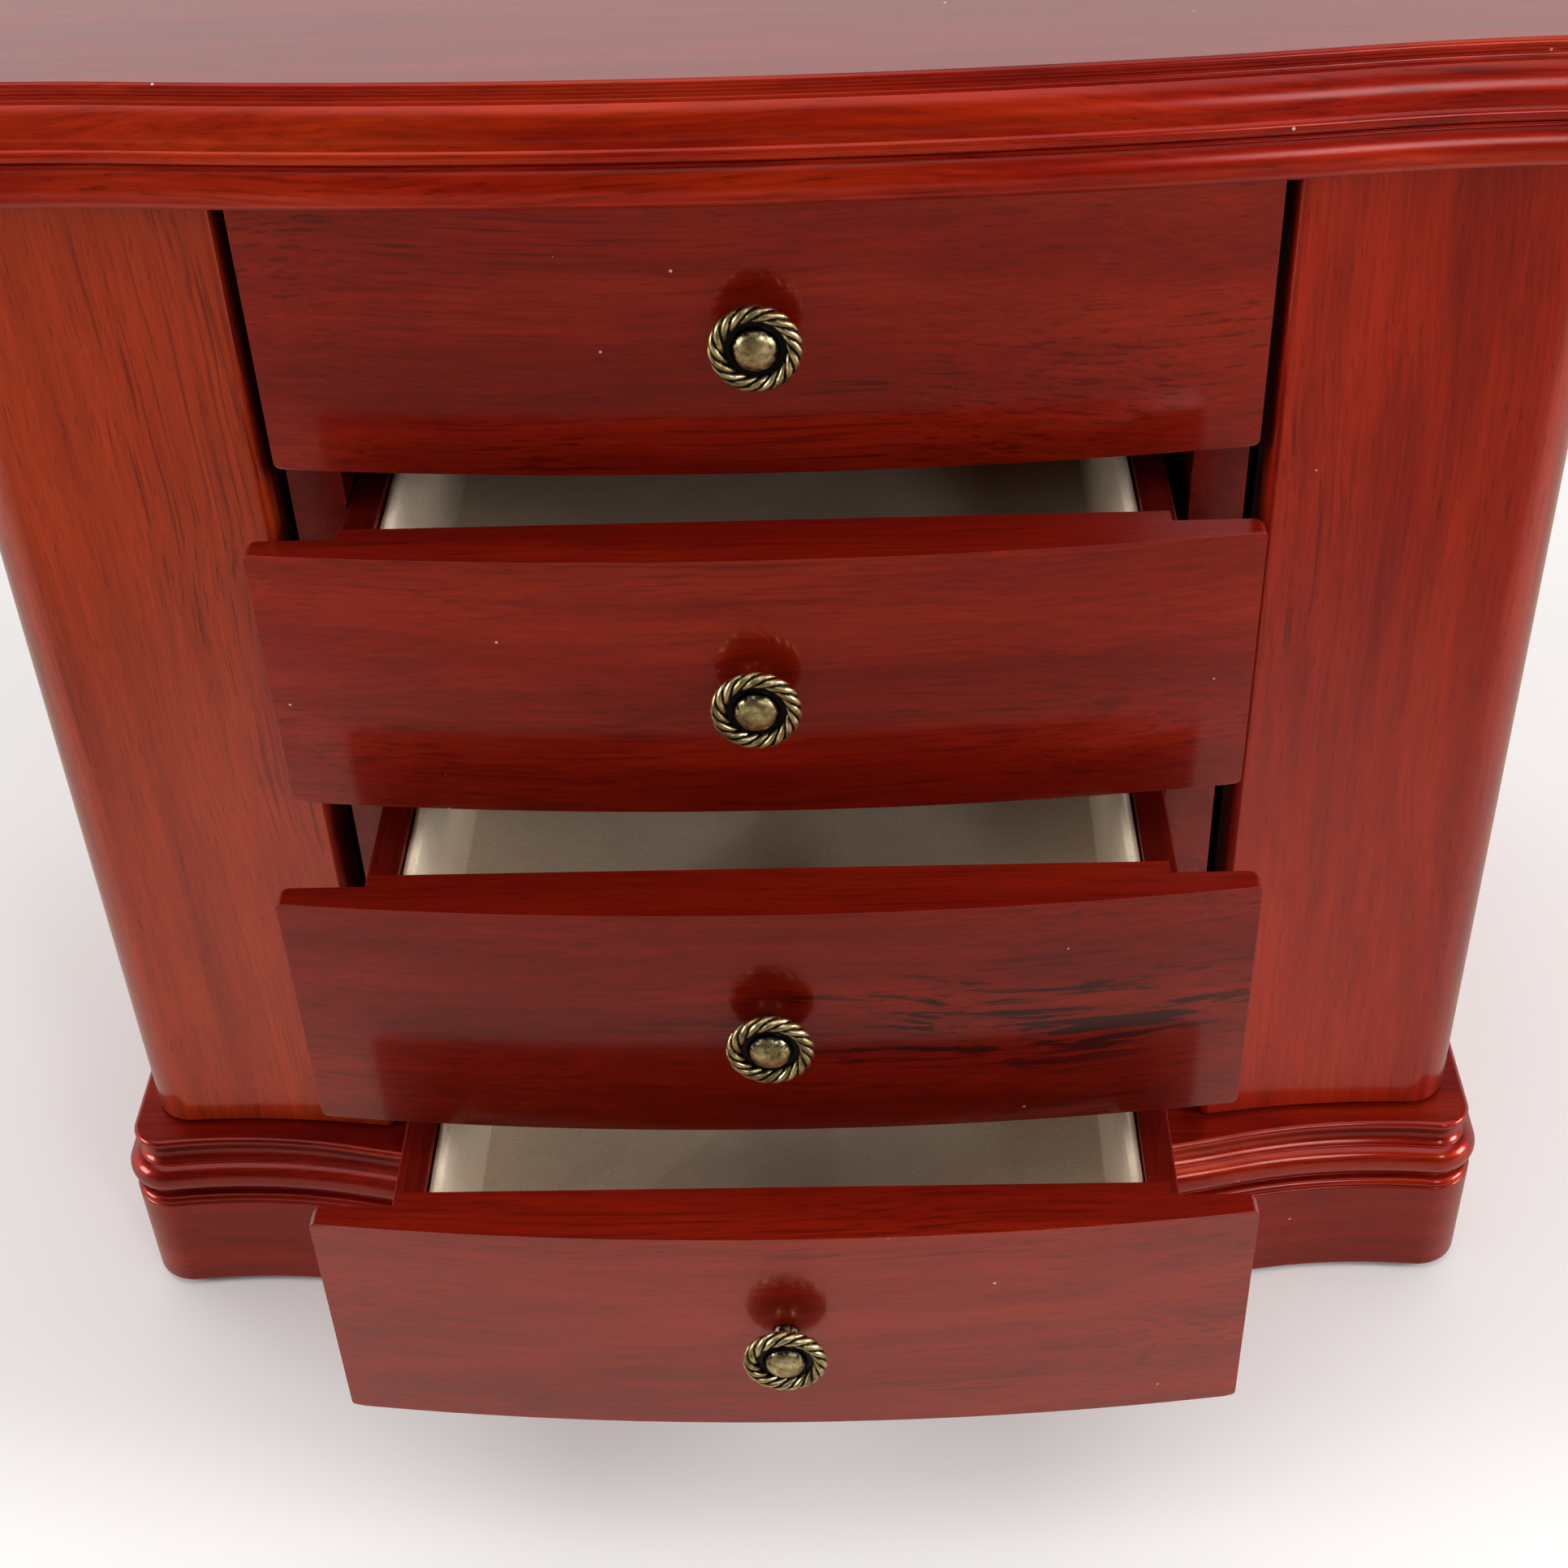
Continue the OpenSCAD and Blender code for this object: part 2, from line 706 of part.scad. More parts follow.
// Turned knob: slim stem, dished disc with a round ring and a domed middle
module drawer_knob(i) {
    stem_r = 2.6;
    ring_t = 1.55;
    ring_at = knob_r - ring_t;
    dome_r = 5;
    dome_drop = 2.6;                // centre of the dome's curve behind the disc
    dome_edge = 4.6;
    bore_play = 0.05;
    bore_end = 0.5;                 // bore past the screw's tip
    color(brass) at_drawer(i) translate([0, -front_sag, knob_z]) rotate([90, 0, 0]) difference() {
        union() {
            rotate_extrude($fn = 64) union() {
                polygon([[0, 0], [stem_r + 0.3, 0], [stem_r, 0.8], [stem_r, 4], [4.6, knob_out - 1.2],
                    [ring_at, knob_out - 0.9], [ring_at, knob_out + 0.4], [0, knob_out + 0.4]]);
                translate([ring_at, knob_out]) circle(r = ring_t, $fn = 32);
            }
            translate([0, 0, knob_out]) intersection() {
                translate([0, 0, -dome_drop]) sphere(r = dome_r, $fn = 48);
                cylinder(r = dome_edge, h = dome_r, $fn = 48);
            }
        }
        translate([0, 0, -1]) cylinder(r = screw_r + bore_play, h = screw_in + bore_end + 1, $fn = 48);
    }
}

// Machine screw from inside the drawer into the knob
module drawer_screw(i) {
    color(steel) at_drawer(i) translate([0, front_back, knob_z]) rotate([90, 0, 0]) {
        translate([0, 0, head_sink - head_t]) cylinder(r = head_r, h = head_t, $fn = 48);
        translate([0, 0, 1]) cylinder(r = screw_r, h = front_back + front_sag + screw_in - 1, $fn = 48);
    }
}

// ---- what is drawn -------------------------------------------------------------

felt_base();
base_plinth();
bottom_panel();
base_board();
back_panel();
left_partition();
right_partition();
drawer_runners();
top_frame();
ring_tray();
tray_lining();
ring_rolls();
bay_linings();
door_magnets();
fixed_hinge_leaves();
hinge_pins();
fixed_hinge_screws();
left_door_stile();
left_door_panel();
left_door_lining();
left_necklace_rail();
left_necklace_hooks();
left_door_pouch();
left_strike_plate();
left_hinge_leaves();
left_hinge_screws();
right_door_stile();
right_door_panel();
right_door_lining();
right_necklace_rail();
right_necklace_hooks();
right_door_pouch();
right_strike_plate();
right_hinge_leaves();
right_hinge_screws();
lid_board();
lid_mirror();
lid_lining();
lid_hinge_leaves();
lid_hinge_screws();
drawer_front(0);  // drawer_1_front
drawer_box(0);  // drawer_1_box
drawer_lining(0);  // drawer_1_lining
drawer_knob(0);  // drawer_1_knob
drawer_screw(0);  // drawer_1_screw
drawer_front(1);  // drawer_2_front
drawer_box(1);  // drawer_2_box
drawer_lining(1);  // drawer_2_lining
drawer_knob(1);  // drawer_2_knob
drawer_screw(1);  // drawer_2_screw
drawer_front(2);  // drawer_3_front
drawer_box(2);  // drawer_3_box
drawer_lining(2);  // drawer_3_lining
drawer_knob(2);  // drawer_3_knob
drawer_screw(2);  // drawer_3_screw
drawer_front(3);  // drawer_4_front
drawer_box(3);  // drawer_4_box
drawer_lining(3);  // drawer_4_lining
drawer_knob(3);  // drawer_4_knob
drawer_screw(3);  // drawer_4_screw
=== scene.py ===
"""Jewellery chest: finishes, soft pieces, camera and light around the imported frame.

Metres, +Z up, the drawers open towards -Y. Places come from the frame's boxes.
"""
import json
import math

import bmesh
import bpy
from mathutils import Matrix, Vector, noise


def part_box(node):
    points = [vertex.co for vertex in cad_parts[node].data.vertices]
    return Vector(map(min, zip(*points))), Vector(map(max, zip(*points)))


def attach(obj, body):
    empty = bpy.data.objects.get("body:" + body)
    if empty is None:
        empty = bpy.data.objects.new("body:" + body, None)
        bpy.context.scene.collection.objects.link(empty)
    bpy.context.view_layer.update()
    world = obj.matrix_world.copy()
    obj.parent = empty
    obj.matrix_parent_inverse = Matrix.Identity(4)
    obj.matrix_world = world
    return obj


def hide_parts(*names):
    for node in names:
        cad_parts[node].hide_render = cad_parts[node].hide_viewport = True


MM = 0.001
DRAWERS = (1, 2, 3, 4)
SIDES = {"left": -1, "right": 1}

# the serpentine fronts: half-widths to the dips and to the turning points, and each swell
DIP_X = 138 * MM
TURN_X = 105.6 * MM
BASE_BOW = 15 * MM
BODY_BOW = 9.3 * MM
LID_BOW = 7.1 * MM
BOARD_CORNER = 11 * MM
BODY_CORNER = 10 * MM

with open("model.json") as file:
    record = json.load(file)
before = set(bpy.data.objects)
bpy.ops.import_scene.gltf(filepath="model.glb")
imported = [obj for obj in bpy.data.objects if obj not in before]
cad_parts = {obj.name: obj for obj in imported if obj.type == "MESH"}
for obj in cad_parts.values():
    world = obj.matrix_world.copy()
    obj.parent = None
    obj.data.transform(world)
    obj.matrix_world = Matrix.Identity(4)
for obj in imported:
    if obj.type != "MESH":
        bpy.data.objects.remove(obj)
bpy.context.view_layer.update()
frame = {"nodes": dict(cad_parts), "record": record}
NODES = frame["nodes"]
GROUPS = frame["record"]["behaviour"]["bodies"]
BODY_OF = {node: body for body, group in GROUPS.items() for node in group}
SLOT_OF = {part["node"]: part["material_slot"] for part in frame["record"]["subparts"]}


# ---- camera --------------------------------------------------------------------

def make_camera():
    """A standing viewer's camera, close in front and looking down on the open drawers."""
    place = (0.01775, -0.4822, 0.4745)
    yaw, pitch, roll = math.radians(2.42), math.radians(-38.98), math.radians(-2.64)
    turn = Matrix.Rotation(yaw, 3, "Z") @ Matrix.Rotation(pitch, 3, "X")
    right, ahead, up = turn.col[0], turn.col[1], turn.col[2]
    rolled_right = right * math.cos(roll) + up * math.sin(roll)
    rolled_up = up * math.cos(roll) - right * math.sin(roll)
    data = bpy.data.cameras.new("camera")
    data.sensor_width = 36
    data.lens = 54.24
    data.clip_start = 0.01
    camera = bpy.data.objects.new("camera", data)
    facing = Matrix((rolled_right, rolled_up, -ahead)).transposed()
    camera.matrix_world = Matrix.Translation(place) @ facing.to_4x4()
    bpy.context.scene.collection.objects.link(camera)
    bpy.context.scene.camera = camera


# ---- node helpers --------------------------------------------------------------

class Nodes:
    """A node tree, built by calls that make a node and set or link its inputs."""

    def __init__(self, tree):
        self.tree = tree

    def node(self, kind, inputs=None, **settings):
        made = self.tree.nodes.new(kind)
        for key, value in settings.items():
            setattr(made, key, value)
        for key, value in (inputs or {}).items():
            self.feed(made.inputs[key], value)
        return made

    def feed(self, socket, value):
        if isinstance(value, bpy.types.NodeSocket):
            self.tree.links.new(value, socket)
        else:
            socket.default_value = value

    def maths(self, operation, a, b):
        return self.node("ShaderNodeMath", {0: a, 1: b}, operation=operation).outputs[0]


class Shader(Nodes):
    """A material, built by short calls that return output sockets."""

    def __init__(self, name):
        self.material = bpy.data.materials.new(name)
        self.material.use_nodes = True
        super().__init__(self.material.node_tree)
        self.shader = self.tree.nodes["Principled BSDF"]

    def place(self, scale, turn=(0, 0, 0), shift=(0, 0, 0)):
        """Object coordinates, shifted, turned and scaled."""
        where = self.node("ShaderNodeTexCoord").outputs["Object"]
        moved = self.node("ShaderNodeMapping", {"Vector": where, "Location": shift, "Rotation": turn})
        return self.vector("MULTIPLY", moved.outputs[0], scale)

    def vector(self, operation, a, b=(0, 0, 0)):
        made = self.node("ShaderNodeVectorMath", {0: a, 1: b}, operation=operation)
        return made.outputs["Value" if operation == "LENGTH" else "Vector"]

    def noise(self, vector, detail=3.0, rough=0.5, warp=0.0):
        made = self.node("ShaderNodeTexNoise", {
            "Vector": vector, "Scale": 1.0, "Detail": detail, "Roughness": rough, "Distortion": warp})
        return made.outputs["Fac"]

    def ramp(self, value, *stops):
        """Smooth ramp through (position, colour or grey) stops."""
        made = self.node("ShaderNodeValToRGB", {"Fac": value})
        elements = made.color_ramp.elements
        while len(elements) < len(stops):
            elements.new(1.0)
        for element, (position, colour) in zip(elements, stops):
            element.position = position
            element.color = (*colour, 1) if isinstance(colour, tuple) else (colour, colour, colour, 1)
        return made.outputs["Color"]

    def mix(self, factor, a, b, blend="MIX"):
        made = self.node("ShaderNodeMix", data_type="RGBA", blend_type=blend)
        self.feed(made.inputs["Factor"], factor)
        self.feed(made.inputs["A"], (*a, 1) if isinstance(a, tuple) else a)
        self.feed(made.inputs["B"], (*b, 1) if isinstance(b, tuple) else b)
        return made.outputs["Result"]

    def shade(self, colour, value, *stops):
        """The colour multiplied by a ramp of the value."""
        return self.mix(1.0, colour, self.ramp(value, *stops), "MULTIPLY")

    def attribute(self, name):
        return self.node("ShaderNodeAttribute", attribute_name=name).outputs["Fac"]

    def specks(self, scale, share, radius):
        """1 at small dots, one in each of a share of the cells."""
        where = self.place((scale, scale, scale))
        cells = self.node("ShaderNodeTexVoronoi", {"Vector": where, "Scale": 1.0})
        pick = self.node("ShaderNodeSeparateColor", {"Color": cells.outputs["Color"]}).outputs[0]
        chosen = self.ramp(pick, (1 - share, 0.0), (1 - share + 0.01, 1.0))
        dot = self.ramp(cells.outputs["Distance"], (radius, 1.0), (radius * 1.6, 0.0))
        return self.maths("MULTIPLY", chosen, dot)

    def bump(self, height, distance, strength, coat=False):
        made = self.node("ShaderNodeBump", {"Height": height, "Distance": distance, "Strength": strength})
        self.feed(self.shader.inputs["Normal"], made.outputs["Normal"])
        if coat:
            self.feed(self.shader.inputs["Coat Normal"], made.outputs["Normal"])

    def set(self, **inputs):
        for key, value in inputs.items():
            self.feed(self.shader.inputs[key.replace("_", " ")], value)
        return self.material


def scaled(colour, factor):
    return tuple(min(1.0, factor * c) for c in colour)


# ---- materials -----------------------------------------------------------------

# turns in degrees that lay the grain along an axis
GRAIN_TURN = {"x": (0, 0, 0), "y": (0, 0, 90), "z": (0, 90, 0)}


def black_figure(s, colour, layer, dark, figure):
    """Black streaks over a patch of the colour."""
    centre, radii, strength = figure
    from_centre = s.vector("SUBTRACT", s.place((1, 1, 1)), centre)
    reach = s.vector("LENGTH", s.vector("DIVIDE", from_centre, radii))
    patch = s.maths("MULTIPLY", s.ramp(reach, (0.35, 1.0), (1.0, 0.0)), strength)
    drawn = s.maths("ADD", layer(20, 430, 5, 0.6, 0.5), s.maths("MULTIPLY", patch, 0.1))
    streak = s.ramp(drawn, (0.6, 0.0), (0.66, 1.0))
    return s.mix(s.maths("MULTIPLY", streak, patch), colour, scaled(dark, 0.1))


def lighten_arrises_and_dust(s, colour, light):
    """The colour made lighter in patches along the arrises, with a few specks of dust."""
    patchy = s.ramp(s.noise(s.place((130, 130, 130))), (0.44, 0.05), (0.68, 0.4))
    lighter_edge = s.maths("MULTIPLY", s.attribute("arris"), patchy)
    colour = s.mix(lighter_edge, colour, tuple(c * 1.2 + 0.008 for c in light))
    dust = s.maths("MULTIPLY", s.specks(140, 0.12, 0.03), 0.6)
    return s.mix(dust, colour, (0.72, 0.6, 0.54))


def wood(name, tones, grain, shift, lines, figure=None, lean=0.0, gloss=0.13, coat=0.85):
    """Stained veneer under lacquer, with its grain along an axis.

    tones are the dark, middle and light of its bands, and shift moves the grain, so that no two
    boards are alike. lines is the strength of the thin dark lines, figure the (centre, radii,
    strength) of a patch of black streaks, and lean the grain's slant in degrees. coat is the
    lacquer's strength and gloss its roughness. "side" marks the faces turned to the chest's
    side, darkened as painted shade, and "arris" the edges, made lighter in patches.
    """
    s = Shader(name)
    turn = [math.radians(a + b) for a, b in zip(GRAIN_TURN[grain], (0, lean, 0))]
    where = s.place((1, 1, 1), turn, (shift, shift * 0.7, shift * 1.3))
    drift = s.noise(s.vector("MULTIPLY", where, (8, 16, 16)), detail=2)
    sway = s.node("ShaderNodeCombineXYZ", {"Y": drift, "Z": drift}).outputs[0]
    where = s.vector("ADD", where, s.vector("MULTIPLY", sway, (0, 0.012, 0.012)))

    def layer(along, across, detail=3, rough=0.5, warp=0.0):
        return s.noise(s.vector("MULTIPLY", where, (along, across, across)), detail, rough, warp)

    dark, middle, light = tones
    fibre = layer(38, 1250, 4, 0.65)
    colour = s.ramp(layer(5, 55, 4, 0.6), (0.34, dark), (0.5, middle), (0.66, light))
    colour = s.shade(colour, layer(11, 260, 3), (0.35, 0.88), (0.62, 1.07))
    colour = s.shade(colour, fibre, (0.34, 0.8), (0.62, 1.1))
    colour = s.shade(colour, layer(170, 2300, 2), (0.3, 0.66), (0.4, 1.0))
    group = s.ramp(layer(6, 30, 2), (0.45, 0.12), (0.58, 1.0))
    line = s.maths("MULTIPLY", s.ramp(layer(20, 1050, 3, 0.55), (0.56, 0.0), (0.63, 1.0)), group)
    colour = s.mix(s.maths("MULTIPLY", line, lines), colour, scaled(dark, 0.3))
    if figure:
        colour = black_figure(s, colour, layer, dark, figure)
    # painted shade: faces turned to the chest's side are darkened
    colour = s.shade(colour, s.attribute("side"), (0.0, 1.0), (1.0, 0.55))
    colour = lighten_arrises_and_dust(s, colour, light)
    height = s.mix(0.5, fibre, layer(170, 2300, 2))
    s.bump(height, 0.000008, 0.3, coat=True)
    tint = s.vector("MULTIPLY", colour, (1 / middle[0],) * 3)
    rough = s.ramp(fibre, (0.3, 0.36), (0.7, 0.46))
    return s.set(Base_Color=colour, Roughness=rough, IOR=2.0, Specular_IOR_Level=0.75,
        Specular_Tint=tint, Coat_Weight=coat, Coat_Roughness=gloss)


def velvet(name, colour):
    """Short-pile cloth: mottled by the pile's lie, with soft sheen."""
    s = Shader(name)
    lie = s.noise(s.place((80, 80, 80)), detail=5, rough=0.6, warp=0.8)
    nap = s.noise(s.place((2400, 2400, 2400)), detail=3, rough=0.7)
    tint = s.ramp(lie, (0.32, scaled(colour, 0.93)), (0.68, scaled(colour, 1.03)))
    tint = s.shade(tint, nap, (0.3, 0.78), (0.65, 1.06))
    s.bump(s.mix(0.2, nap, lie), 0.00014, 0.7)
    return s.set(Base_Color=tint, Roughness=0.95, Sheen_Weight=0.3, Sheen_Roughness=0.5,
        Specular_IOR_Level=0.15)


def antique_brass():
    """Cast brass: rubbed high spots over black patina held in the hollows."""
    s = Shader("antique_brass")
    cast = s.noise(s.place((900, 900, 900)), detail=5, rough=0.7)
    cloud = s.noise(s.place((330, 330, 330)), detail=4, rough=0.65)
    dull, plain, bright = (0.13, 0.09, 0.035), (0.42, 0.33, 0.15), (0.82, 0.7, 0.42)
    rubbed = s.ramp(cloud, (0.32, dull), (0.5, plain), (0.7, bright))
    hollow = s.maths("MULTIPLY", s.attribute("hollow"), s.ramp(cast, (0.3, 2.3), (0.6, 0.8)))
    colour = s.mix(s.ramp(hollow, (0.25, 0.0), (0.6, 1.0)), rubbed, (0.012, 0.011, 0.012))
    colour = s.shade(colour, cast, (0.3, 0.25), (0.42, 1.0))
    s.bump(cast, 0.00008, 0.6)
    return s.set(Base_Color=colour, Metallic=1.0, Roughness=s.ramp(cloud, (0.3, 0.42), (0.7, 0.27)))


def bare_metal(name, colour):
    """Plated metal with fine rolling marks and light tarnish."""
    s = Shader(name)
    marks = s.noise(s.place((200, 200, 3800)), detail=3)
    tarnish = s.noise(s.place((120, 120, 120)), detail=4)
    tint = s.ramp(tarnish, (0.3, scaled(colour, 0.6)), (0.65, colour))
    s.bump(marks, 0.00002, 0.4)
    return s.set(Base_Color=tint, Metallic=1.0, Roughness=s.ramp(marks, (0.3, 0.25), (0.7, 0.39)))


def mirror_glass():
    """Silvered glass with a thin bloom of dust and faint smears."""
    s = Shader("mirror")
    smear = s.noise(s.place((18, 60, 40)), detail=5, warp=1.2)
    rough = s.ramp(smear, (0.45, 0.01), (0.75, 0.06))
    return s.set(Base_Color=(0.86, 0.88, 0.89, 1), Metallic=0.82, Roughness=rough)


def speckled(name, low, high, size, rough, depth):
    """Matt fibrous or moulded surface, mottled between two tones."""
    s = Shader(name)
    grain = s.noise(s.place((size, size, size)), detail=6, rough=0.75)
    s.bump(grain, depth, 0.8)
    return s.set(Base_Color=s.ramp(grain, (0.3, low), (0.7, high)), Roughness=rough)


# dark, middle and light of each wood's bands
FRONT_TONES = [(0.08, 0.0023, 0.0003), (0.105, 0.0036, 0.0005), (0.132, 0.0062, 0.001)]
DARK_FRONT_TONES = [scaled(tone, 0.75) for tone in FRONT_TONES]
MOULD_TONES = [(0.085, 0.0016, 0.0002), (0.15, 0.0042, 0.0004), (0.24, 0.0145, 0.0014)]
BASE_TONES = [scaled(tone, 0.7) for tone in MOULD_TONES]
LEFT_DOOR_TONES = [(0.175, 0.0128, 0.0018), (0.22, 0.0185, 0.003), (0.262, 0.024, 0.0043)]
RIGHT_DOOR_TONES = [(0.14, 0.0052, 0.001), (0.208, 0.0098, 0.0018), (0.255, 0.015, 0.0028)]
INNER_TONES = [(0.03, 0.0012, 0.0005), (0.055, 0.0022, 0.0008), (0.08, 0.004, 0.0013)]
CREAM = (0.84, 0.68, 0.495)


def drawer_veneer(i):
    """Each front's own sheet of veneer; the third is dark, with black figure on its right."""
    low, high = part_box(f"drawer_{i}_front")
    if i == 3:
        spot = (low.x + 0.76 * (high.x - low.x), low.y, low.z + 0.48 * (high.z - low.z))
        figure = (spot, (0.1, 0.03, 0.024), 0.9)
        return wood("drawer_3_veneer", DARK_FRONT_TONES, "x", 1.11, 0.5, figure, coat=0.6)
    lines = {1: 0.6, 2: 0.45, 4: 0.5}[i]
    return wood(f"drawer_{i}_veneer", FRONT_TONES, "x", 0.37 * i, lines, lean=0.6)


FRONT_WOOD = {i: drawer_veneer(i) for i in DRAWERS}
MATERIALS = {
    "door_wood": wood("door_wood", LEFT_DOOR_TONES, "z", 0.5, lines=0.6, lean=1, coat=0.7),
    "inner_wood": wood("inner_wood", INNER_TONES, "y", 0.8, lines=0.3, gloss=0.2, coat=0.7),
    "ivory_velvet": velvet("ivory_velvet", CREAM),
    "antique_brass": antique_brass(),
    "brass": bare_metal("plated_brass", (0.8, 0.6, 0.28)),
    "steel": bare_metal("steel", (0.6, 0.6, 0.6)),
    "mirror": mirror_glass(),
    "felt": speckled("felt", (0.02, 0.019, 0.018), (0.07, 0.066, 0.06), 1500, 0.95, 0.0002),
    "magnet": speckled("magnet_case", (0.012, 0.012, 0.012), (0.03, 0.03, 0.03), 900, 0.45, 0.00003),
}
RIGHT_DOOR_WOOD = wood("right_door_wood", RIGHT_DOOR_TONES, "z", 0.85, lines=0.6, lean=1, coat=0.6)
DOOR_WOOD = {"left": MATERIALS["door_wood"], "right": RIGHT_DOOR_WOOD}
LID_TONES = [scaled(FRONT_TONES[1], share) for share in (0.92, 1.0, 1.1)]
LID_VENEER = wood("lid_veneer", LID_TONES, "x", 0.45, lines=0.15, lean=-1, coat=0.9)
BOARD_WOOD = {
    "lid_board": wood("lid_wood", MOULD_TONES, "x", 0.2, lines=0.5, lean=-1, gloss=0.2, coat=0.4),
    "top_frame": wood("frame_wood", MOULD_TONES, "x", 0.63, lines=0.4, gloss=0.2, coat=0.4),
    "base_board": wood("base_wood", BASE_TONES, "x", 0.94, lines=0.3, gloss=0.11, coat=0.5),
    "base_plinth": wood("plinth_wood", FRONT_TONES, "x", 1.27, lines=0.2, coat=0.45),
}
# the same boards' side faces, whose grain runs front to back
SIDE_WOOD = {
    "lid_board": wood("lid_side_wood", MOULD_TONES, "y", 0.31, lines=0.5, gloss=0.2, coat=0.4),
    "top_frame": wood("frame_side_wood", MOULD_TONES, "y", 0.72, lines=0.4, gloss=0.2, coat=0.4),
    "base_board": wood("base_side_wood", BASE_TONES, "y", 1.04, lines=0.3, gloss=0.11, coat=0.5),
    "base_plinth": wood("plinth_side_wood", FRONT_TONES, "y", 1.36, lines=0.2, coat=0.45),
}


# ---- mesh helpers --------------------------------------------------------------

def soften(bm, degrees):
    """Smooth faces, with edges sharper than this left crisp."""
    limit = math.radians(degrees)
    for face in bm.faces:
        face.smooth = True
    for edge in bm.edges:
        edge.smooth = edge.calc_face_angle(math.pi) < limit


def add_piece(name, bm, node, *materials, degrees=32):
    """Puts a mesh in the scene, standing for a CAD node and riding on its body."""
    bmesh.ops.recalc_face_normals(bm, faces=bm.faces)
    soften(bm, degrees)
    mesh = bpy.data.meshes.new(name)
    bm.to_mesh(mesh)
    bm.free()
    for material in materials:
        mesh.materials.append(material)
    piece = bpy.data.objects.new(name, mesh)
    bpy.context.scene.collection.objects.link(piece)
    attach(piece, BODY_OF[node])
    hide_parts(node)
    return piece


def even_normals(piece):
    """Large faces keep flat shading beside their rounded arrises."""
    piece.modifiers.new("even_normals", "WEIGHTED_NORMAL").keep_sharp = True


def bevel_sharp(bm, width, segments, degrees=30):
    """Rounds every edge sharper than this, and marks the new faces as arrises."""
    arris = bm.faces.layers.float.get("arris") or bm.faces.layers.float.new("arris")
    sharp = [e for e in bm.edges if e.calc_face_angle(0) > math.radians(degrees)]
    made = bmesh.ops.bevel(bm, geom=sharp, offset=width, offset_type="OFFSET", segments=segments,
        profile=0.5, affect="EDGES", clamp_overlap=True)
    for face in made["faces"]:
        face[arris] = 1.0


def refine(node, width, segments=2, material=None):
    """A copy of a CAD node with rounded arrises, which stands for it."""
    bm = bmesh.new()
    bm.from_mesh(NODES[node].data)
    bmesh.ops.remove_doubles(bm, verts=bm.verts, dist=2e-6)
    bmesh.ops.dissolve_limit(bm, angle_limit=math.radians(0.05), verts=bm.verts, edges=bm.edges)
    bevel_sharp(bm, width, segments)
    piece = add_piece(f"{node}_finished", bm, node, material or MATERIALS[SLOT_OF[node]])
    even_normals(piece)
    return piece


def ring_of(bm, points):
    return [bm.verts.new(point) for point in points]


def skin(bm, rings, closed=True, caps=(True, True)):
    """Joins rings of equal length with quads, and returns each band of faces."""
    count = len(rings[0])
    bands = []
    for low, high in zip(rings, rings[1:]):
        bands.append([bm.faces.new((low[j], low[(j + 1) % count], high[(j + 1) % count], high[j]))
            for j in range(count if closed else count - 1)])
    if caps[0]:
        bm.faces.new(list(reversed(rings[0])))
    if caps[1]:
        bm.faces.new(rings[-1])
    return bands


def arc(centre, radius, start, end, steps):
    """Points of an arc in a plane, angles in degrees."""
    angles = [math.radians(start + (end - start) * i / steps) for i in range(steps + 1)]
    return [(centre[0] + radius * math.cos(a), centre[1] + radius * math.sin(a)) for a in angles]


def cap_of(ring):
    """The face that closes a ring."""
    return next(face for face in ring[0].link_faces if len(face.verts) == len(ring))


def rounded_rectangle(low, high, inset, radius, steps):
    """Corner-rounded rectangle in plan, counter-clockwise."""
    x0, y0, x1, y1 = low[0] + inset, low[1] + inset, high[0] - inset, high[1] - inset
    r = max(radius - inset, 0.4 * MM)
    centres = [(x1 - r, y0 + r), (x1 - r, y1 - r), (x0 + r, y1 - r), (x0 + r, y0 + r)]
    points = []
    for centre, start in zip(centres, (-90, 0, 90, 180)):
        points += arc(centre, r, start, start + 90, steps)
    return points


def subdivide_ring(ring, corner_points, pieces):
    """Splits each straight run between the corners of a closed ring into equal pieces."""
    made = []
    for j, point in enumerate(ring):
        made.append(point)
        if j % corner_points == corner_points - 1:
            after = ring[(j + 1) % len(ring)]
            for k in range(1, pieces):
                made.append(tuple(a + (b - a) * k / pieces for a, b in zip(point, after)))
    return made


# ---- moulded boards ------------------------------------------------------------

def wave(x, bow):
    """Serpentine front: 0 at the dips, -bow in the middle, two tangent curves."""
    reach = abs(x)
    slope = 2 * bow / DIP_X
    if reach < TURN_X:
        return reach * reach * slope / (2 * TURN_X) - bow
    return -(DIP_X - reach) ** 2 * slope / (2 * (DIP_X - TURN_X))


def outline(half, dip_y, bow, rear, radius):
    """Plan of a board: serpentine front, rounded front corners and square rear corners."""
    steps, corner_steps = 140, 10
    cx = half - radius
    cy = dip_y + wave(cx, bow) + radius
    front = []
    for i in range(steps):
        x = -cx + 2 * cx * i / steps
        front.append((x, dip_y + wave(x, bow)))
    right = arc((cx, cy), radius, -90, 0, corner_steps)
    left = arc((-cx, cy), radius, 180, 270, corner_steps)
    return front + right + [(half, rear), (-half, rear)] + left[:-1]


def turned(inset, z, radius, start, end, steps):
    """Arc of a moulding's profile in millimetres: 0 degrees faces out, 90 up."""
    return [(inset - r, z + h) for r, h in arc((0, 0), radius, start, end, steps)]


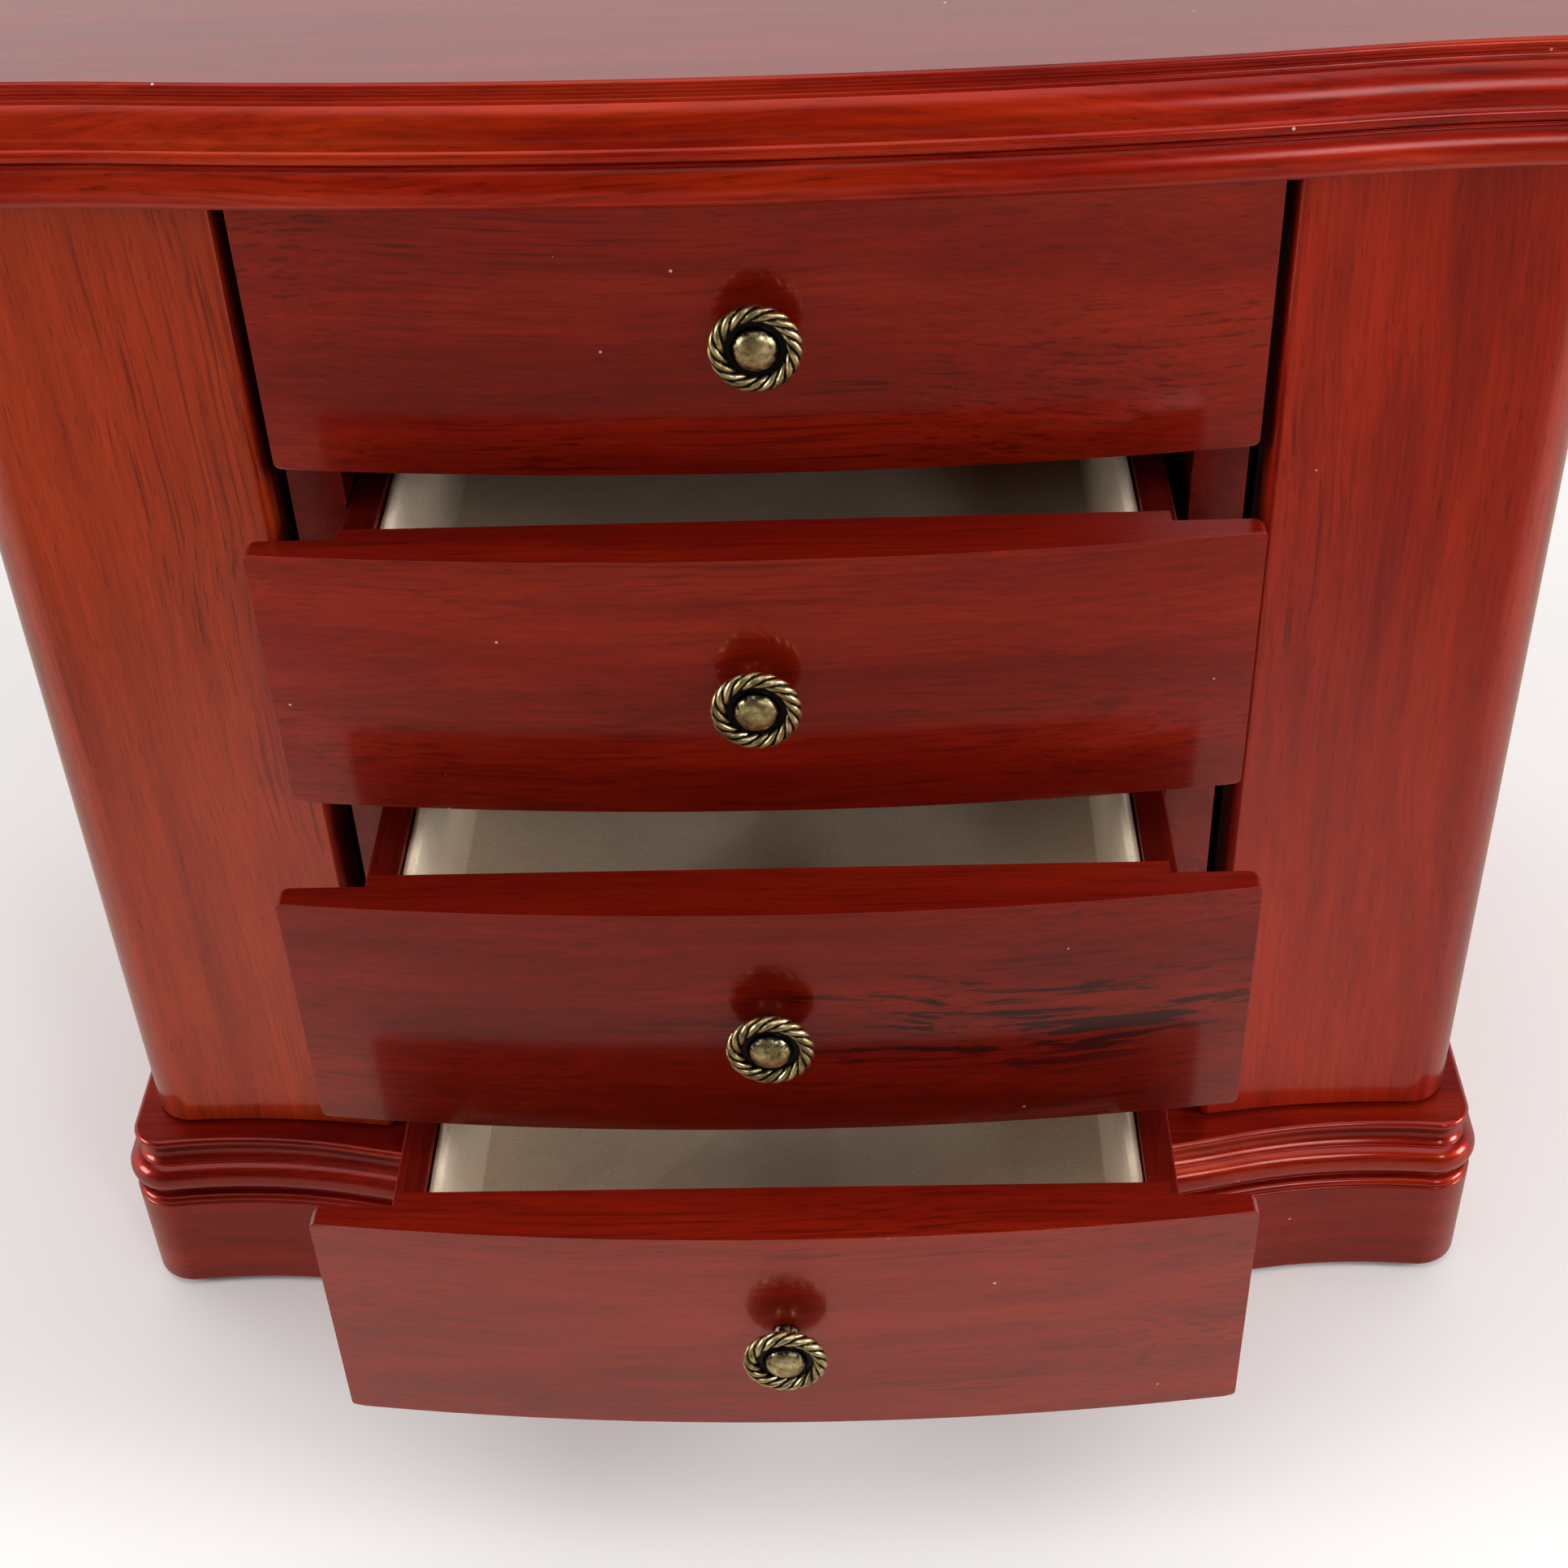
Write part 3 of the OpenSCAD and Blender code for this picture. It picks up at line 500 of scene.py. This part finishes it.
def eased(profile):
    """The profile with its corners rounded, and whether each new strip is a convex arris."""
    radius, least_gap, least_bend = 0.25, 0.01, math.radians(22)
    apart = [after for before, after in zip(profile, profile[1:]) if math.dist(before, after) > least_gap]
    profile = [profile[0]] + apart
    points = [(*profile[0], False)]
    for before, corner, after in zip(profile, profile[1:], profile[2:]):
        a = Vector(corner) - Vector(before)
        b = Vector(after) - Vector(corner)
        bend = a.angle(b)
        if bend < least_bend:
            points.append((*corner, False))
            continue
        cut = min(radius * math.tan(bend / 2), 0.4 * a.length, 0.4 * b.length)
        start, end = Vector(corner) - a.normalized() * cut, Vector(corner) + b.normalized() * cut
        convex = a.x * b.y - a.y * b.x < 0
        for t in (0, 0.33, 0.67, 1):
            spot = start * (1 - t) ** 2 + Vector(corner) * 2 * t * (1 - t) + end * t * t
            points.append((spot.x, spot.y, convex and t > 0))
    return points + [(*profile[-1], False)]


def cut_opening(bm, rings, floor_z, ceiling_z, opening):
    """Cuts a box up from the underside of a board, or right through it.

    opening is the box's low and high corners and its top.
    """
    start, end, top = opening
    through = top >= ceiling_z
    corners = [(start[0], start[1]), (end[0], start[1]), (end[0], end[1]), (start[0], end[1])]
    levels = [floor_z, ceiling_z if through else top]
    walls = [ring_of(bm, [(x, y, z) for x, y in corners]) for z in levels]
    skin(bm, walls, caps=(False, not through))
    rims = [(rings[0], walls[0])]
    if through:
        bm.faces.remove(cap_of(rings[-1]))
        rims.append((rings[-1], walls[1]))
    for rim in rims:
        edges = []
        for loop in rim:
            edges += [bm.edges.get((loop[j], loop[(j + 1) % len(loop)])) for j in range(len(loop))]
        bmesh.ops.triangle_fill(bm, edges=edges, use_beauty=True)


def moulded_board(node, bow, profile, opening=None):
    """Board whose front and side edges follow a profile in millimetres above its underside."""
    low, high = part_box(node)
    widest = min(inset for inset, z in profile) * MM
    half = high.x + widest
    dip_y = low.y - widest + bow
    bm = bmesh.new()
    arris = bm.faces.layers.float.new("arris")
    points = eased(profile)
    rings = []
    for inset, z, lighter_edge in points:
        plan = outline(half - inset * MM, dip_y + inset * MM, bow, high.y, BOARD_CORNER - inset * MM)
        rings.append(ring_of(bm, [(x, y, low.z + z * MM) for x, y in plan]))
    for (inset, z, lighter_edge), band in zip(points[1:], skin(bm, rings, caps=(opening is None, True))):
        for face in band:
            face[arris] = float(lighter_edge)
    if opening:
        cut_opening(bm, rings, low.z, high.z, opening)
    woods = [BOARD_WOOD[node], SIDE_WOOD[node]]
    if node == "lid_board":
        cap_of(rings[-1]).material_index = len(woods)
        woods.append(LID_VENEER)
    piece = add_piece(f"{node}_moulded", bm, node, *woods, degrees=40)
    for face in piece.data.polygons:
        if abs(face.normal.x) > abs(face.normal.y) + 0.001:
            face.material_index = woods.index(SIDE_WOOD[node])
    even_normals(piece)


def rise(node):
    """A CAD node's height in millimetres."""
    low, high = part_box(node)
    return (high.z - low.z) / MM


def make_mouldings():
    """Base, plinth, top frame and lid."""
    top = rise("base_board")
    profile = [(1.4, 0)] + turned(2.3, 0.5, 1.7, 5, 70, 6) + [(3, 2.3)] + turned(4.4, 7.6, 4.2, -70, 78, 18)
    profile += turned(2.2, 14.6, 2.8, 235, 125, 10) + turned(4.4, top - 1.2, 1.2, -40, 90, 8)
    moulded_board("base_board", BASE_BOW, profile)
    top = rise("base_plinth")
    profile = [(1.2, 0), (0.6, 0.8), (0.6, top - 0.7)] + turned(1.3, top - 0.7, 0.7, 0, 90, 5)
    moulded_board("base_plinth", BASE_BOW, profile)
    top = rise("top_frame")
    profile = turned(2.4, 2.4, 2.4, -90, 0, 10) + turned(6, 2.7, 6, 4, 50, 12) + [(2.3, top)]
    tray_low, tray_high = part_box("ring_tray")
    moulded_board("top_frame", LID_BOW, profile, (tray_low, tray_high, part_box("top_frame")[1].z))
    top = rise("lid_board")
    profile = turned(2.3, 1.4, 1.4, -90, 65, 14) + turned(10, 3, 8, 5, 52, 18) + [(5.9, top - 3.1)]
    profile += turned(5.7, top - 2.3, 1, 230, 150, 8) + turned(7.5, top - 1, 1, -30, 90, 9)
    cloth_low, cloth_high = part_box("lid_lining")
    moulded_board("lid_board", LID_BOW, profile, (cloth_low, cloth_high, cloth_high.z))


# ---- doors ---------------------------------------------------------------------

def paint_side_shade(piece):
    """Marks how far each point of a door has turned to the chest's side, where its colour is darkened as
    painted shade.
    """
    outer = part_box("right_door_panel")[1].x
    side_shade = piece.data.attributes.new("side", "FLOAT", "POINT")
    for vert, mark in zip(piece.data.vertices, side_shade.data):
        share = min(max((abs(vert.co.x) - outer) / BODY_CORNER + 1, 0.0), 1.0)
        mark.value = share * share * (3 - 2 * share)


def door_stile(side):
    """Curved front stile with a rounded outer corner and an eased inner arris."""
    node = f"{side}_door_stile"
    low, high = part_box(node)
    sign = SIDES[side]
    inner, outer = (low.x, high.x) if sign > 0 else (-high.x, -low.x)
    dip_y = low.y - wave(inner, BODY_BOW)
    ease, rear = 1.9 * MM, 0.8 * MM
    front_steps = 40
    start, end = inner + ease, outer - BODY_CORNER
    plan = arc((start, dip_y + wave(start, BODY_BOW) + ease), ease, 180, 270, 8)[:-1]
    for k in range(front_steps):
        x = start + (end - start) * k / front_steps
        plan.append((x, dip_y + wave(x, BODY_BOW)))
    plan += arc((end, dip_y + wave(end, BODY_BOW) + BODY_CORNER), BODY_CORNER, -90, 0, 16)
    plan += arc((outer - rear, high.y - rear), rear, 0, 90, 4)
    plan += arc((inner + rear, high.y - rear), rear, 90, 180, 4)
    bm = bmesh.new()
    skin(bm, [ring_of(bm, [(sign * x, y, z) for x, y in plan]) for z in (low.z, high.z)])
    bevel_sharp(bm, 0.7 * MM, segments=3, degrees=50)
    piece = add_piece(f"{side}_door_stile_board", bm, node, DOOR_WOOD[side])
    # painted shade across the stile's outer corner
    paint_side_shade(piece)
    even_normals(piece)


# ---- drawers -------------------------------------------------------------------

def drawer_front(i):
    """Bow-fronted board with end rebates, rounded arrises and round rear corners."""
    node = f"drawer_{i}_front"
    low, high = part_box(node)
    centre = (low.x + high.x) / 2
    half = (high.x - low.x) / 2
    end_t, step, corner, steps = 4.6 * MM, 17 * MM, 2.2 * MM, 72
    rounding = 1.3 * MM
    rebate_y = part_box(f"drawer_{i}_box")[0].y
    sag = rebate_y - end_t - low.y
    radius = (half * half + sag * sag) / (2 * sag)
    plan = []
    for k in range(steps + 1):
        x = -half + 2 * half * k / steps
        plan.append((x, low.y + radius - math.sqrt(radius * radius - x * x)))
    plan += arc((half - corner, rebate_y - corner), corner, 0, 90, 5)
    plan += [(half - step, rebate_y), (half - step, high.y), (step - half, high.y), (step - half, rebate_y)]
    plan += arc((-half + corner, rebate_y - corner), corner, 90, 180, 5)
    # heights and how far the ends draw in there, which rounds the corners as seen from the front
    levels = [(low.z + rounding - rounding * math.sin(a), rounding - rounding * math.cos(a))
        for a in (math.radians(90 - 15 * k) for k in range(7))]
    levels += [(low.z + high.z - z, inset) for z, inset in reversed(levels)]
    bm = bmesh.new()
    rings = []
    for z, inset in levels:
        limit = half - inset
        rings.append(ring_of(bm, [(centre + max(-limit, min(limit, x)), y, z) for x, y in plan]))
    skin(bm, rings)
    bmesh.ops.remove_doubles(bm, verts=bm.verts, dist=1e-7)
    bevel_sharp(bm, 0.5 * MM, segments=3, degrees=50)
    even_normals(add_piece(f"drawer_{i}_front_board", bm, node, FRONT_WOOD[i]))


def drawer_lining(i):
    """Cloth-covered tray with rolled rims and a crisp joint between its walls and floor."""
    node = f"drawer_{i}_lining"
    low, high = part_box(node)
    wall, floor, fillet, rim = 2.2 * MM, 1.5 * MM, 0.5 * MM, 1.3 * MM
    corner_steps, run_pieces = 6, 40
    top = high.z
    profile = [(0.4 * MM, low.z), (0, low.z + 0.4 * MM), (0, top - 3 * MM)]
    profile += arc((rim - 0.1 * MM, top - rim), rim, 180, 0, 12)
    profile += [(wall, top - 3.4 * MM), (wall, low.z + floor + fillet)]
    profile += arc((wall + fillet, low.z + floor + fillet), fillet, 210, 270, 2)
    bm = bmesh.new()
    rings = []
    for inset, z in profile:
        soft = 0.25 * MM if z > top - 4 * MM else 0.0
        corners = rounded_rectangle(low, high, inset, 3.5 * MM, corner_steps)
        ring = []
        for x, y in subdivide_ring(corners, corner_steps + 1, run_pieces):
            across = noise.noise((y * 90, z * 50, i))
            along = noise.noise((x * 90, 7, i))
            lift = noise.noise((x * 60, y * 60, 3 * i)) - 0.5
            ring.append((x + soft * across, y + soft * along, z + soft * lift))
        rings.append(ring_of(bm, ring))
    skin(bm, rings)
    add_piece(f"drawer_{i}_velvet", bm, node, MATERIALS["ivory_velvet"], degrees=50)


def lathe(bm, layer, axis, profile):
    """Profile of (radius, distance out, darkness of the hollow) turned about an axis along -Y."""
    steps = 72
    rings = []
    for r, out, dark in profile:
        ring = ring_of(bm, [(axis.x + r * math.cos(a), axis.y - out, axis.z + r * math.sin(a))
            for a in (2 * math.pi * k / steps for k in range(steps))])
        for vert in ring:
            vert[layer] = dark
        rings.append(ring)
    skin(bm, rings)


def rope_ring(bm, layer, axis, out, outer):
    """Ring of twisted strands round an axis along -Y, dark in its grooves."""
    around, across, strands, lay = 340, 30, 17, -4
    minor, groove = 1.55 * MM, 0.34
    major = outer - minor
    rings = []
    for k in range(around):
        a = 2 * math.pi * k / around
        ring = []
        for j in range(across):
            b = 2 * math.pi * j / across
            ridge = abs(math.sin((strands * a + lay * b) / 2)) ** 0.75
            r = minor * (1 - groove + groove * ridge)
            reach = major + r * math.cos(b)
            vert = bm.verts.new((axis.x + reach * math.cos(a), axis.y - out - r * math.sin(b),
                axis.z + reach * math.sin(a)))
            vert[layer] = max(0.0, 1.12 - 1.35 * ridge)
            ring.append(vert)
        rings.append(ring)
    skin(bm, rings + [rings[0]], caps=(False, False))


def knob(i):
    """Cast knob: slim stem, rope-twist ring, dished face and a low dome."""
    node = f"drawer_{i}_knob"
    low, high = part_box(node)
    axis = Vector(((low.x + high.x) / 2, high.y, (low.z + high.z) / 2))
    # the ring's middle is set back from the CAD's front, and the dome stays clear of that front
    crown, clear = 2.4 * MM, 0.1 * MM
    out = high.y - low.y - crown
    bm = bmesh.new()
    hollow = bm.verts.layers.float.new("hollow")
    # radius and distance out in millimetres, and the patina's darkness, drawn for a ring 7.05 mm out
    stem = [(2.75, 0.02, 0.8), (2.8, 0.3, 0.5), (2.65, 0.7, 0.4), (2.5, 1.2, 0.4), (2.4, 2.2, 0.35),
        (2.45, 3.2, 0.4), (2.7, 4.2, 0.5), (3.6, 5.2, 0.7), (5.2, 5.9, 0.8)]
    dish = [(6.8, 6.5, 0.9), (6.9, 6.9, 1.0), (6.0, 7.0, 1.0), (4.8, 6.9, 1.0), (4.45, 6.95, 1.0)]
    dome = [(4.35, 7.4, 0.9), (4.1, 7.95, 0.5), (3.6, 8.5, 0.3), (2.8, 8.95, 0.2), (1.8, 9.22, 0.18),
        (0.8, 9.34, 0.15), (0.15, 9.36, 0.15)]
    grow = out / (7.05 * MM)
    profile = []
    for r, distance, dark in stem + dish + dome:
        profile.append((r * MM, min(distance * MM * grow, out + crown - clear), dark))
    lathe(bm, hollow, axis, profile)
    rope_ring(bm, hollow, axis, out, (high.x - low.x) / 2)
    add_piece(f"drawer_{i}_rope_knob", bm, node, MATERIALS["antique_brass"], degrees=75)


# ---- soft pieces ---------------------------------------------------------------

def settle(piece, pinned, pressure, slack):
    """Lets a cloth mesh come to rest with its seams held, and returns its points."""
    frames = 18
    group = piece.vertex_groups.new(name="seams")
    group.add(pinned, 1.0, "REPLACE")
    cloth = piece.modifiers.new("cloth", "CLOTH")
    cloth.settings.quality = 6
    cloth.settings.mass = 0.3
    cloth.settings.bending_stiffness = 0.6
    cloth.settings.vertex_group_mass = "seams"
    cloth.settings.use_pressure = pressure > 0
    cloth.settings.uniform_pressure_force = pressure
    cloth.settings.shrink_min = -slack
    cloth.settings.effector_weights.gravity = 0.2
    cloth.point_cache.frame_end = frames
    for step in range(1, frames + 1):
        bpy.context.scene.frame_set(step)
    settled = piece.evaluated_get(bpy.context.evaluated_depsgraph_get())
    points = [vert.co.copy() for vert in settled.data.vertices]
    bpy.context.scene.frame_set(1)
    return points


def relaxed(bm, pinned, pressure, slack):
    """Runs the cloth at twenty times life size, and writes its rest shape back to the mesh."""
    size = 20
    bmesh.ops.scale(bm, vec=(size, size, size), verts=bm.verts)
    mesh = bpy.data.meshes.new("cloth_trial")
    bm.to_mesh(mesh)
    trial = bpy.data.objects.new("cloth_trial", mesh)
    bpy.context.scene.collection.objects.link(trial)
    points = settle(trial, pinned, pressure, slack)
    for vert, point in zip(bm.verts, points):
        vert.co = point / size
    bpy.data.objects.remove(trial)
    bpy.data.meshes.remove(mesh)


def fit_to(bm, low, high):
    """Stretches or shrinks the mesh on each axis to fill a box."""
    spans = [(min(v.co[k] for v in bm.verts), max(v.co[k] for v in bm.verts)) for k in range(3)]
    for vert in bm.verts:
        for k, (start, end) in enumerate(spans):
            share = (vert.co[k] - start) / (end - start)
            vert.co[k] = low[k] + share * (high[k] - low[k])


def stuffed_roll(low, high):
    """One roll, seamed underneath, in a box with its length along X."""
    radius = (high.z - low.z) / 2
    axis = Vector((0, (low.y + high.y) / 2, low.z + radius))
    steps, around = 56, 24
    angles = [2 * math.pi * (j + 0.5) / around for j in range(around)]
    bm = bmesh.new()
    rings = []
    for k in range(steps + 1):
        share = k / steps
        x = low.x + share * (high.x - low.x)
        reach = radius * min(1.0, math.sqrt(1 - (2 * share - 1) ** 22) + 0.12)
        ring = []
        for a in angles:
            r = reach * (1 + 0.02 * noise.noise((40 * share, 2 * math.cos(a), 2 * math.sin(a))))
            ring.append((x, axis.y + r * math.cos(a), axis.z + r * math.sin(a)))
        rings.append(ring_of(bm, ring))
    skin(bm, rings)
    bm.verts.index_update()
    seam = [ring[j].index for ring in rings for j, a in enumerate(angles) if math.sin(a) < -0.75]
    relaxed(bm, seam, pressure=5.0, slack=0.03)
    fit_to(bm, low, high)
    return bm


def ring_rolls():
    """Fourteen stuffed rolls in a row, which grip rings between them."""
    low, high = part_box("ring_rolls")
    count, play, dent = 14, 0.3 * MM, 0.35 * MM
    pitch = (high.y - low.y + play) / count
    roll_high = Vector((high.x, low.y + pitch - play, high.z))
    middle_z = low.z + (high.z - low.z) / 2
    shape = bpy.data.meshes.new("one_roll")
    one = stuffed_roll(low, roll_high)
    one.to_mesh(shape)
    one.free()
    rolls = bmesh.new()
    for k in range(count):
        before = len(rolls.verts)
        rolls.from_mesh(shape)
        rolls.verts.ensure_lookup_table()
        for vert in rolls.verts[before:]:
            if k % 2:
                vert.co.x = low.x + high.x - vert.co.x
                vert.co.y = low.y + roll_high.y - vert.co.y
            vert.co.y += k * pitch
            # the upper half sinks a little, unevenly
            if vert.co.z > middle_z:
                vert.co.z -= dent * (1 + noise.noise((vert.co.x * 70, vert.co.y * 70, k)))
    bpy.data.meshes.remove(shape)
    piece = add_piece("ring_roll_cushions", rolls, "ring_rolls", MATERIALS["ivory_velvet"], degrees=80)


def door_pouch(side):
    """Gathered pocket: cloth sewn down at its foot and ends, drawn in by elastic near its top."""
    node = f"{side}_door_pouch"
    low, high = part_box(node)
    wall, stands = (high.x, -1) if side == "right" else (low.x, 1)
    margin = 0.4 * MM
    deep = high.x - low.x - 2 * margin
    gathers, elastic = 24, 0.86
    across, up = 240, 26
    bm = bmesh.new()
    rows = []
    for j in range(up + 1):
        v = j / up
        belly = 0.92 * math.sin(math.pi * min(v / elastic, 1.0) * 0.62 + 0.04)
        neck = 0.3 * math.exp(-((v - elastic) / 0.05) ** 2)
        row = []
        for k in range(across + 1):
            u = k / across
            ends = (1 - abs(2 * u - 1) ** 9) ** 0.55
            phase = gathers * u + 0.8 * noise.noise((7 * u, 1.5 * v, 0))
            ripple = math.sin(2 * math.pi * phase)
            fold = (0.55 + 0.45 * v) * 0.085 * ripple
            out = max(0.03, (belly - neck) * ends + fold * min(1.0, 3 * v) * ends)
            y = low.y + margin + u * (high.y - low.y - 2 * margin)
            z = low.z + margin + v * (high.z - low.z - 2 * margin) + 0.3 * MM * v * ripple
            row.append(bm.verts.new((wall + stands * (margin + deep * min(out, 0.96)), y, z)))
        rows.append(row)
    skin(bm, rows, closed=False, caps=(False, False))
    bm.verts.index_update()
    sewn = rows[0] + [end for row in rows for end in (row[0], row[-1])]
    held = [vert.index for vert in sewn + rows[round(elastic * up)]]
    relaxed(bm, held, pressure=0.0, slack=0.02)
    inset = Vector((0.3, 0.3, 0.3)) * MM
    fit_to(bm, low + inset, high - inset)
    piece = add_piece(f"{side}_door_pocket", bm, node, MATERIALS["ivory_velvet"], degrees=80)
    cloth = piece.modifiers.new("thickness", "SOLIDIFY")
    cloth.thickness = 0.45 * MM
    cloth.offset = 0


# ---- rigid pieces --------------------------------------------------------------

def hook_line(reach, top, flange, wire, ball):
    """A hook's middle line as (out, up, radius): out from its flange, up a bend and round its ball."""
    bend = 2.2 * MM
    line = [(0, 0, flange), (0.7 * MM, 0, flange), (1 * MM, 0, flange - 0.3 * MM), (1.15 * MM, 0, wire),
        (reach - bend, 0, wire)]
    line += [(x, z, wire) for x, z in arc((reach - bend, bend), bend, -90, 0, 6)[1:]]
    for a in (math.radians(20 * k) for k in range(1, 10)):
        least = wire if a < 1 else 0.05 * MM
        line.append((reach, top - ball * math.cos(a), max(least, ball * math.sin(a))))
    return line


def necklace_hooks(side):
    """Six hooks turned up at the end, each with a flange and a ball."""
    node = f"{side}_necklace_hooks"
    low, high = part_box(node)
    out, wall = (-1, high.x) if side == "right" else (1, low.x)
    flange, wire, ball = 2 * MM, 0.9 * MM, 1.4 * MM
    foot = low.z + flange
    tip = high.z - ball
    line = hook_line(high.x - low.x - wire, tip - foot, flange, wire, ball)
    bm = bmesh.new()
    hooks, around = 6, 20
    for k in range(hooks):
        y = low.y + flange + k * (high.y - low.y - 2 * flange) / (hooks - 1)
        rings = []
        for j, (x, z, r) in enumerate(line):
            before, after = line[max(j - 1, 0)], line[min(j + 1, len(line) - 1)]
            along = math.atan2(after[1] - before[1], after[0] - before[0])
            ring = []
            for i in range(around):
                a = 2 * math.pi * i / around
                aside, up = -r * math.cos(a) * math.sin(along), r * math.cos(a) * math.cos(along)
                ring.append((wall + out * (x + aside), y + r * math.sin(a), foot + z + up))
            rings.append(ring_of(bm, ring))
        skin(bm, rings)
    add_piece(f"{side}_hooks", bm, node, MATERIALS[SLOT_OF[node]], degrees=50)


# widths in millimetres of the rounded arrises on the pieces whose CAD shape is right
BOARD_ARRIS = {"bottom_panel": 0.3, "back_panel": 0.6, "left_partition": 0.4, "right_partition": 0.4,
    "drawer_runners": 0.3, "ring_tray": 0.5, "felt_base": 0.3}
SIDE_ARRIS = {"door_lining": 0.3, "strike_plate": 0.15, "hinge_leaves": 0.12, "hinge_screws": 0.1}
FITTING_ARRIS = {"tray_lining": 0.45, "bay_linings": 0.3, "door_magnets": 0.5, "fixed_hinge_leaves": 0.12,
    "hinge_pins": 0.15, "fixed_hinge_screws": 0.1, "lid_hinge_leaves": 0.12, "lid_hinge_screws": 0.1,
    "lid_mirror": 0.6, "lid_lining": 0.4}


def finish_plain_pieces():
    """Every wooden board, hinge, catch and lining whose CAD shape is right."""
    for node, width in BOARD_ARRIS.items():
        refine(node, width * MM)
    for side in SIDES:
        # painted shade on the side panels
        paint_side_shade(refine(f"{side}_door_panel", 0.6 * MM, material=DOOR_WOOD[side]))
        refine(f"{side}_necklace_rail", 0.8 * MM, 3, DOOR_WOOD[side])
        for part, width in SIDE_ARRIS.items():
            refine(f"{side}_{part}", width * MM)
    for node, width in FITTING_ARRIS.items():
        refine(node, width * MM)
    for i in DRAWERS:
        refine(f"drawer_{i}_box", 0.45 * MM)
        refine(f"drawer_{i}_screw", 0.15 * MM)


# ---- stage and light -----------------------------------------------------------

# the pale surroundings
PAPER = (1.0, 0.985, 0.98, 1)


def area_light(name, place, target, size, power):
    data = bpy.data.lights.new(name, "AREA")
    data.shape = "RECTANGLE"
    data.size, data.size_y = size
    data.energy = power
    lamp = bpy.data.objects.new(name, data)
    lamp.location = place
    lamp.rotation_euler = (Vector(target) - Vector(place)).to_track_quat("-Z", "Y").to_euler()
    bpy.context.scene.collection.objects.link(lamp)


def make_world():
    """A dim room, bright overhead and low behind the chest; a camera sees pale paper all round."""
    world = bpy.data.worlds.new("world")
    world.use_nodes = True
    n = Nodes(world.node_tree)

    def smooth(value, start, end, level=1.0):
        inputs = {"Value": value, "From Min": start, "From Max": end, "To Max": level}
        return n.node("ShaderNodeMapRange", inputs, interpolation_type="SMOOTHSTEP").outputs[0]

    way = n.node("ShaderNodeSeparateXYZ", {0: n.node("ShaderNodeTexCoord").outputs["Generated"]}).outputs
    behind = n.maths("MULTIPLY", smooth(way[1], -0.1, 0.4), smooth(way[2], 0.75, 0.4))
    overhead = smooth(way[2], 0.8, 0.92, 1.85)
    sweep = n.node("ShaderNodeMapRange", {"Value": behind, "To Min": 0.05, "To Max": 1.1}).outputs[0]
    room = n.maths("ADD", sweep, overhead)
    seen = n.node("ShaderNodeLightPath").outputs["Is Camera Ray"]
    shown = n.node("ShaderNodeMix", {"Factor": seen, "A": room, "B": 0.82}).outputs[0]
    background = n.tree.nodes["Background"].inputs
    n.feed(background["Color"], PAPER)
    n.feed(background["Strength"], shown)
    bpy.context.scene.world = world


def make_stage():
    """Pale floor, a soft box on each side, a small window light in front and the room around."""
    bm = bmesh.new()
    bmesh.ops.create_grid(bm, x_segments=4, y_segments=4, size=4)
    mesh = bpy.data.meshes.new("floor")
    bm.to_mesh(mesh)
    bm.free()
    floor = bpy.data.objects.new("floor", mesh)
    bpy.context.scene.collection.objects.link(floor)
    s = Shader("floor")
    tone = s.ramp(s.noise(s.place((3, 3, 3))), (0.3, (0.83, 0.815, 0.805)), (0.7, (0.845, 0.83, 0.82)))
    # a patch 0.6 m in front is darker for glossy rays only: a painted shadow, seen in the lacquer's
    # reflections
    patch = s.vector("DIVIDE", s.place((1, 1, 1), shift=(0, 0.6, 0)), (0.75, 0.36, 1))
    dark = s.shade(tone, s.vector("LENGTH", patch), (0.6, (0.22, 0.2, 0.16)), (1.02, (0.76, 0.7, 0.61)))
    ray = s.node("ShaderNodeLightPath").outputs
    colour = s.mix(ray["Is Glossy Ray"], tone, dark)
    # the floor beyond 1.3 m glows a little, for the camera only, and so fades into the paper
    far = s.ramp(s.vector("LENGTH", s.place((0.25, 0.25, 0.25))), (0.33, 0.0), (0.7, 0.24))
    glow = s.maths("MULTIPLY", far, ray["Is Camera Ray"])
    s.set(Base_Color=colour, Roughness=0.7, Emission_Color=PAPER, Emission_Strength=glow)
    mesh.materials.append(s.material)
    make_world()
    front = (0, -0.12, 0.15)
    area_light("left_box", (-2.0, -0.64, 0.84), front, (0.85, 0.85), 34)
    area_light("right_box", (2.05, -0.62, 0.88), front, (0.75, 0.75), 42)
    area_light("window", (0.52, -0.97, 0.78), (0, -0.1, 0.2), (0.25, 0.25), 2.2)
    bpy.context.scene.view_settings.view_transform = "Standard"


make_camera()
make_mouldings()
finish_plain_pieces()
ring_rolls()
for name in SIDES:
    door_stile(name)
    necklace_hooks(name)
    door_pouch(name)
for number in DRAWERS:
    drawer_front(number)
    drawer_lining(number)
    knob(number)
make_stage()
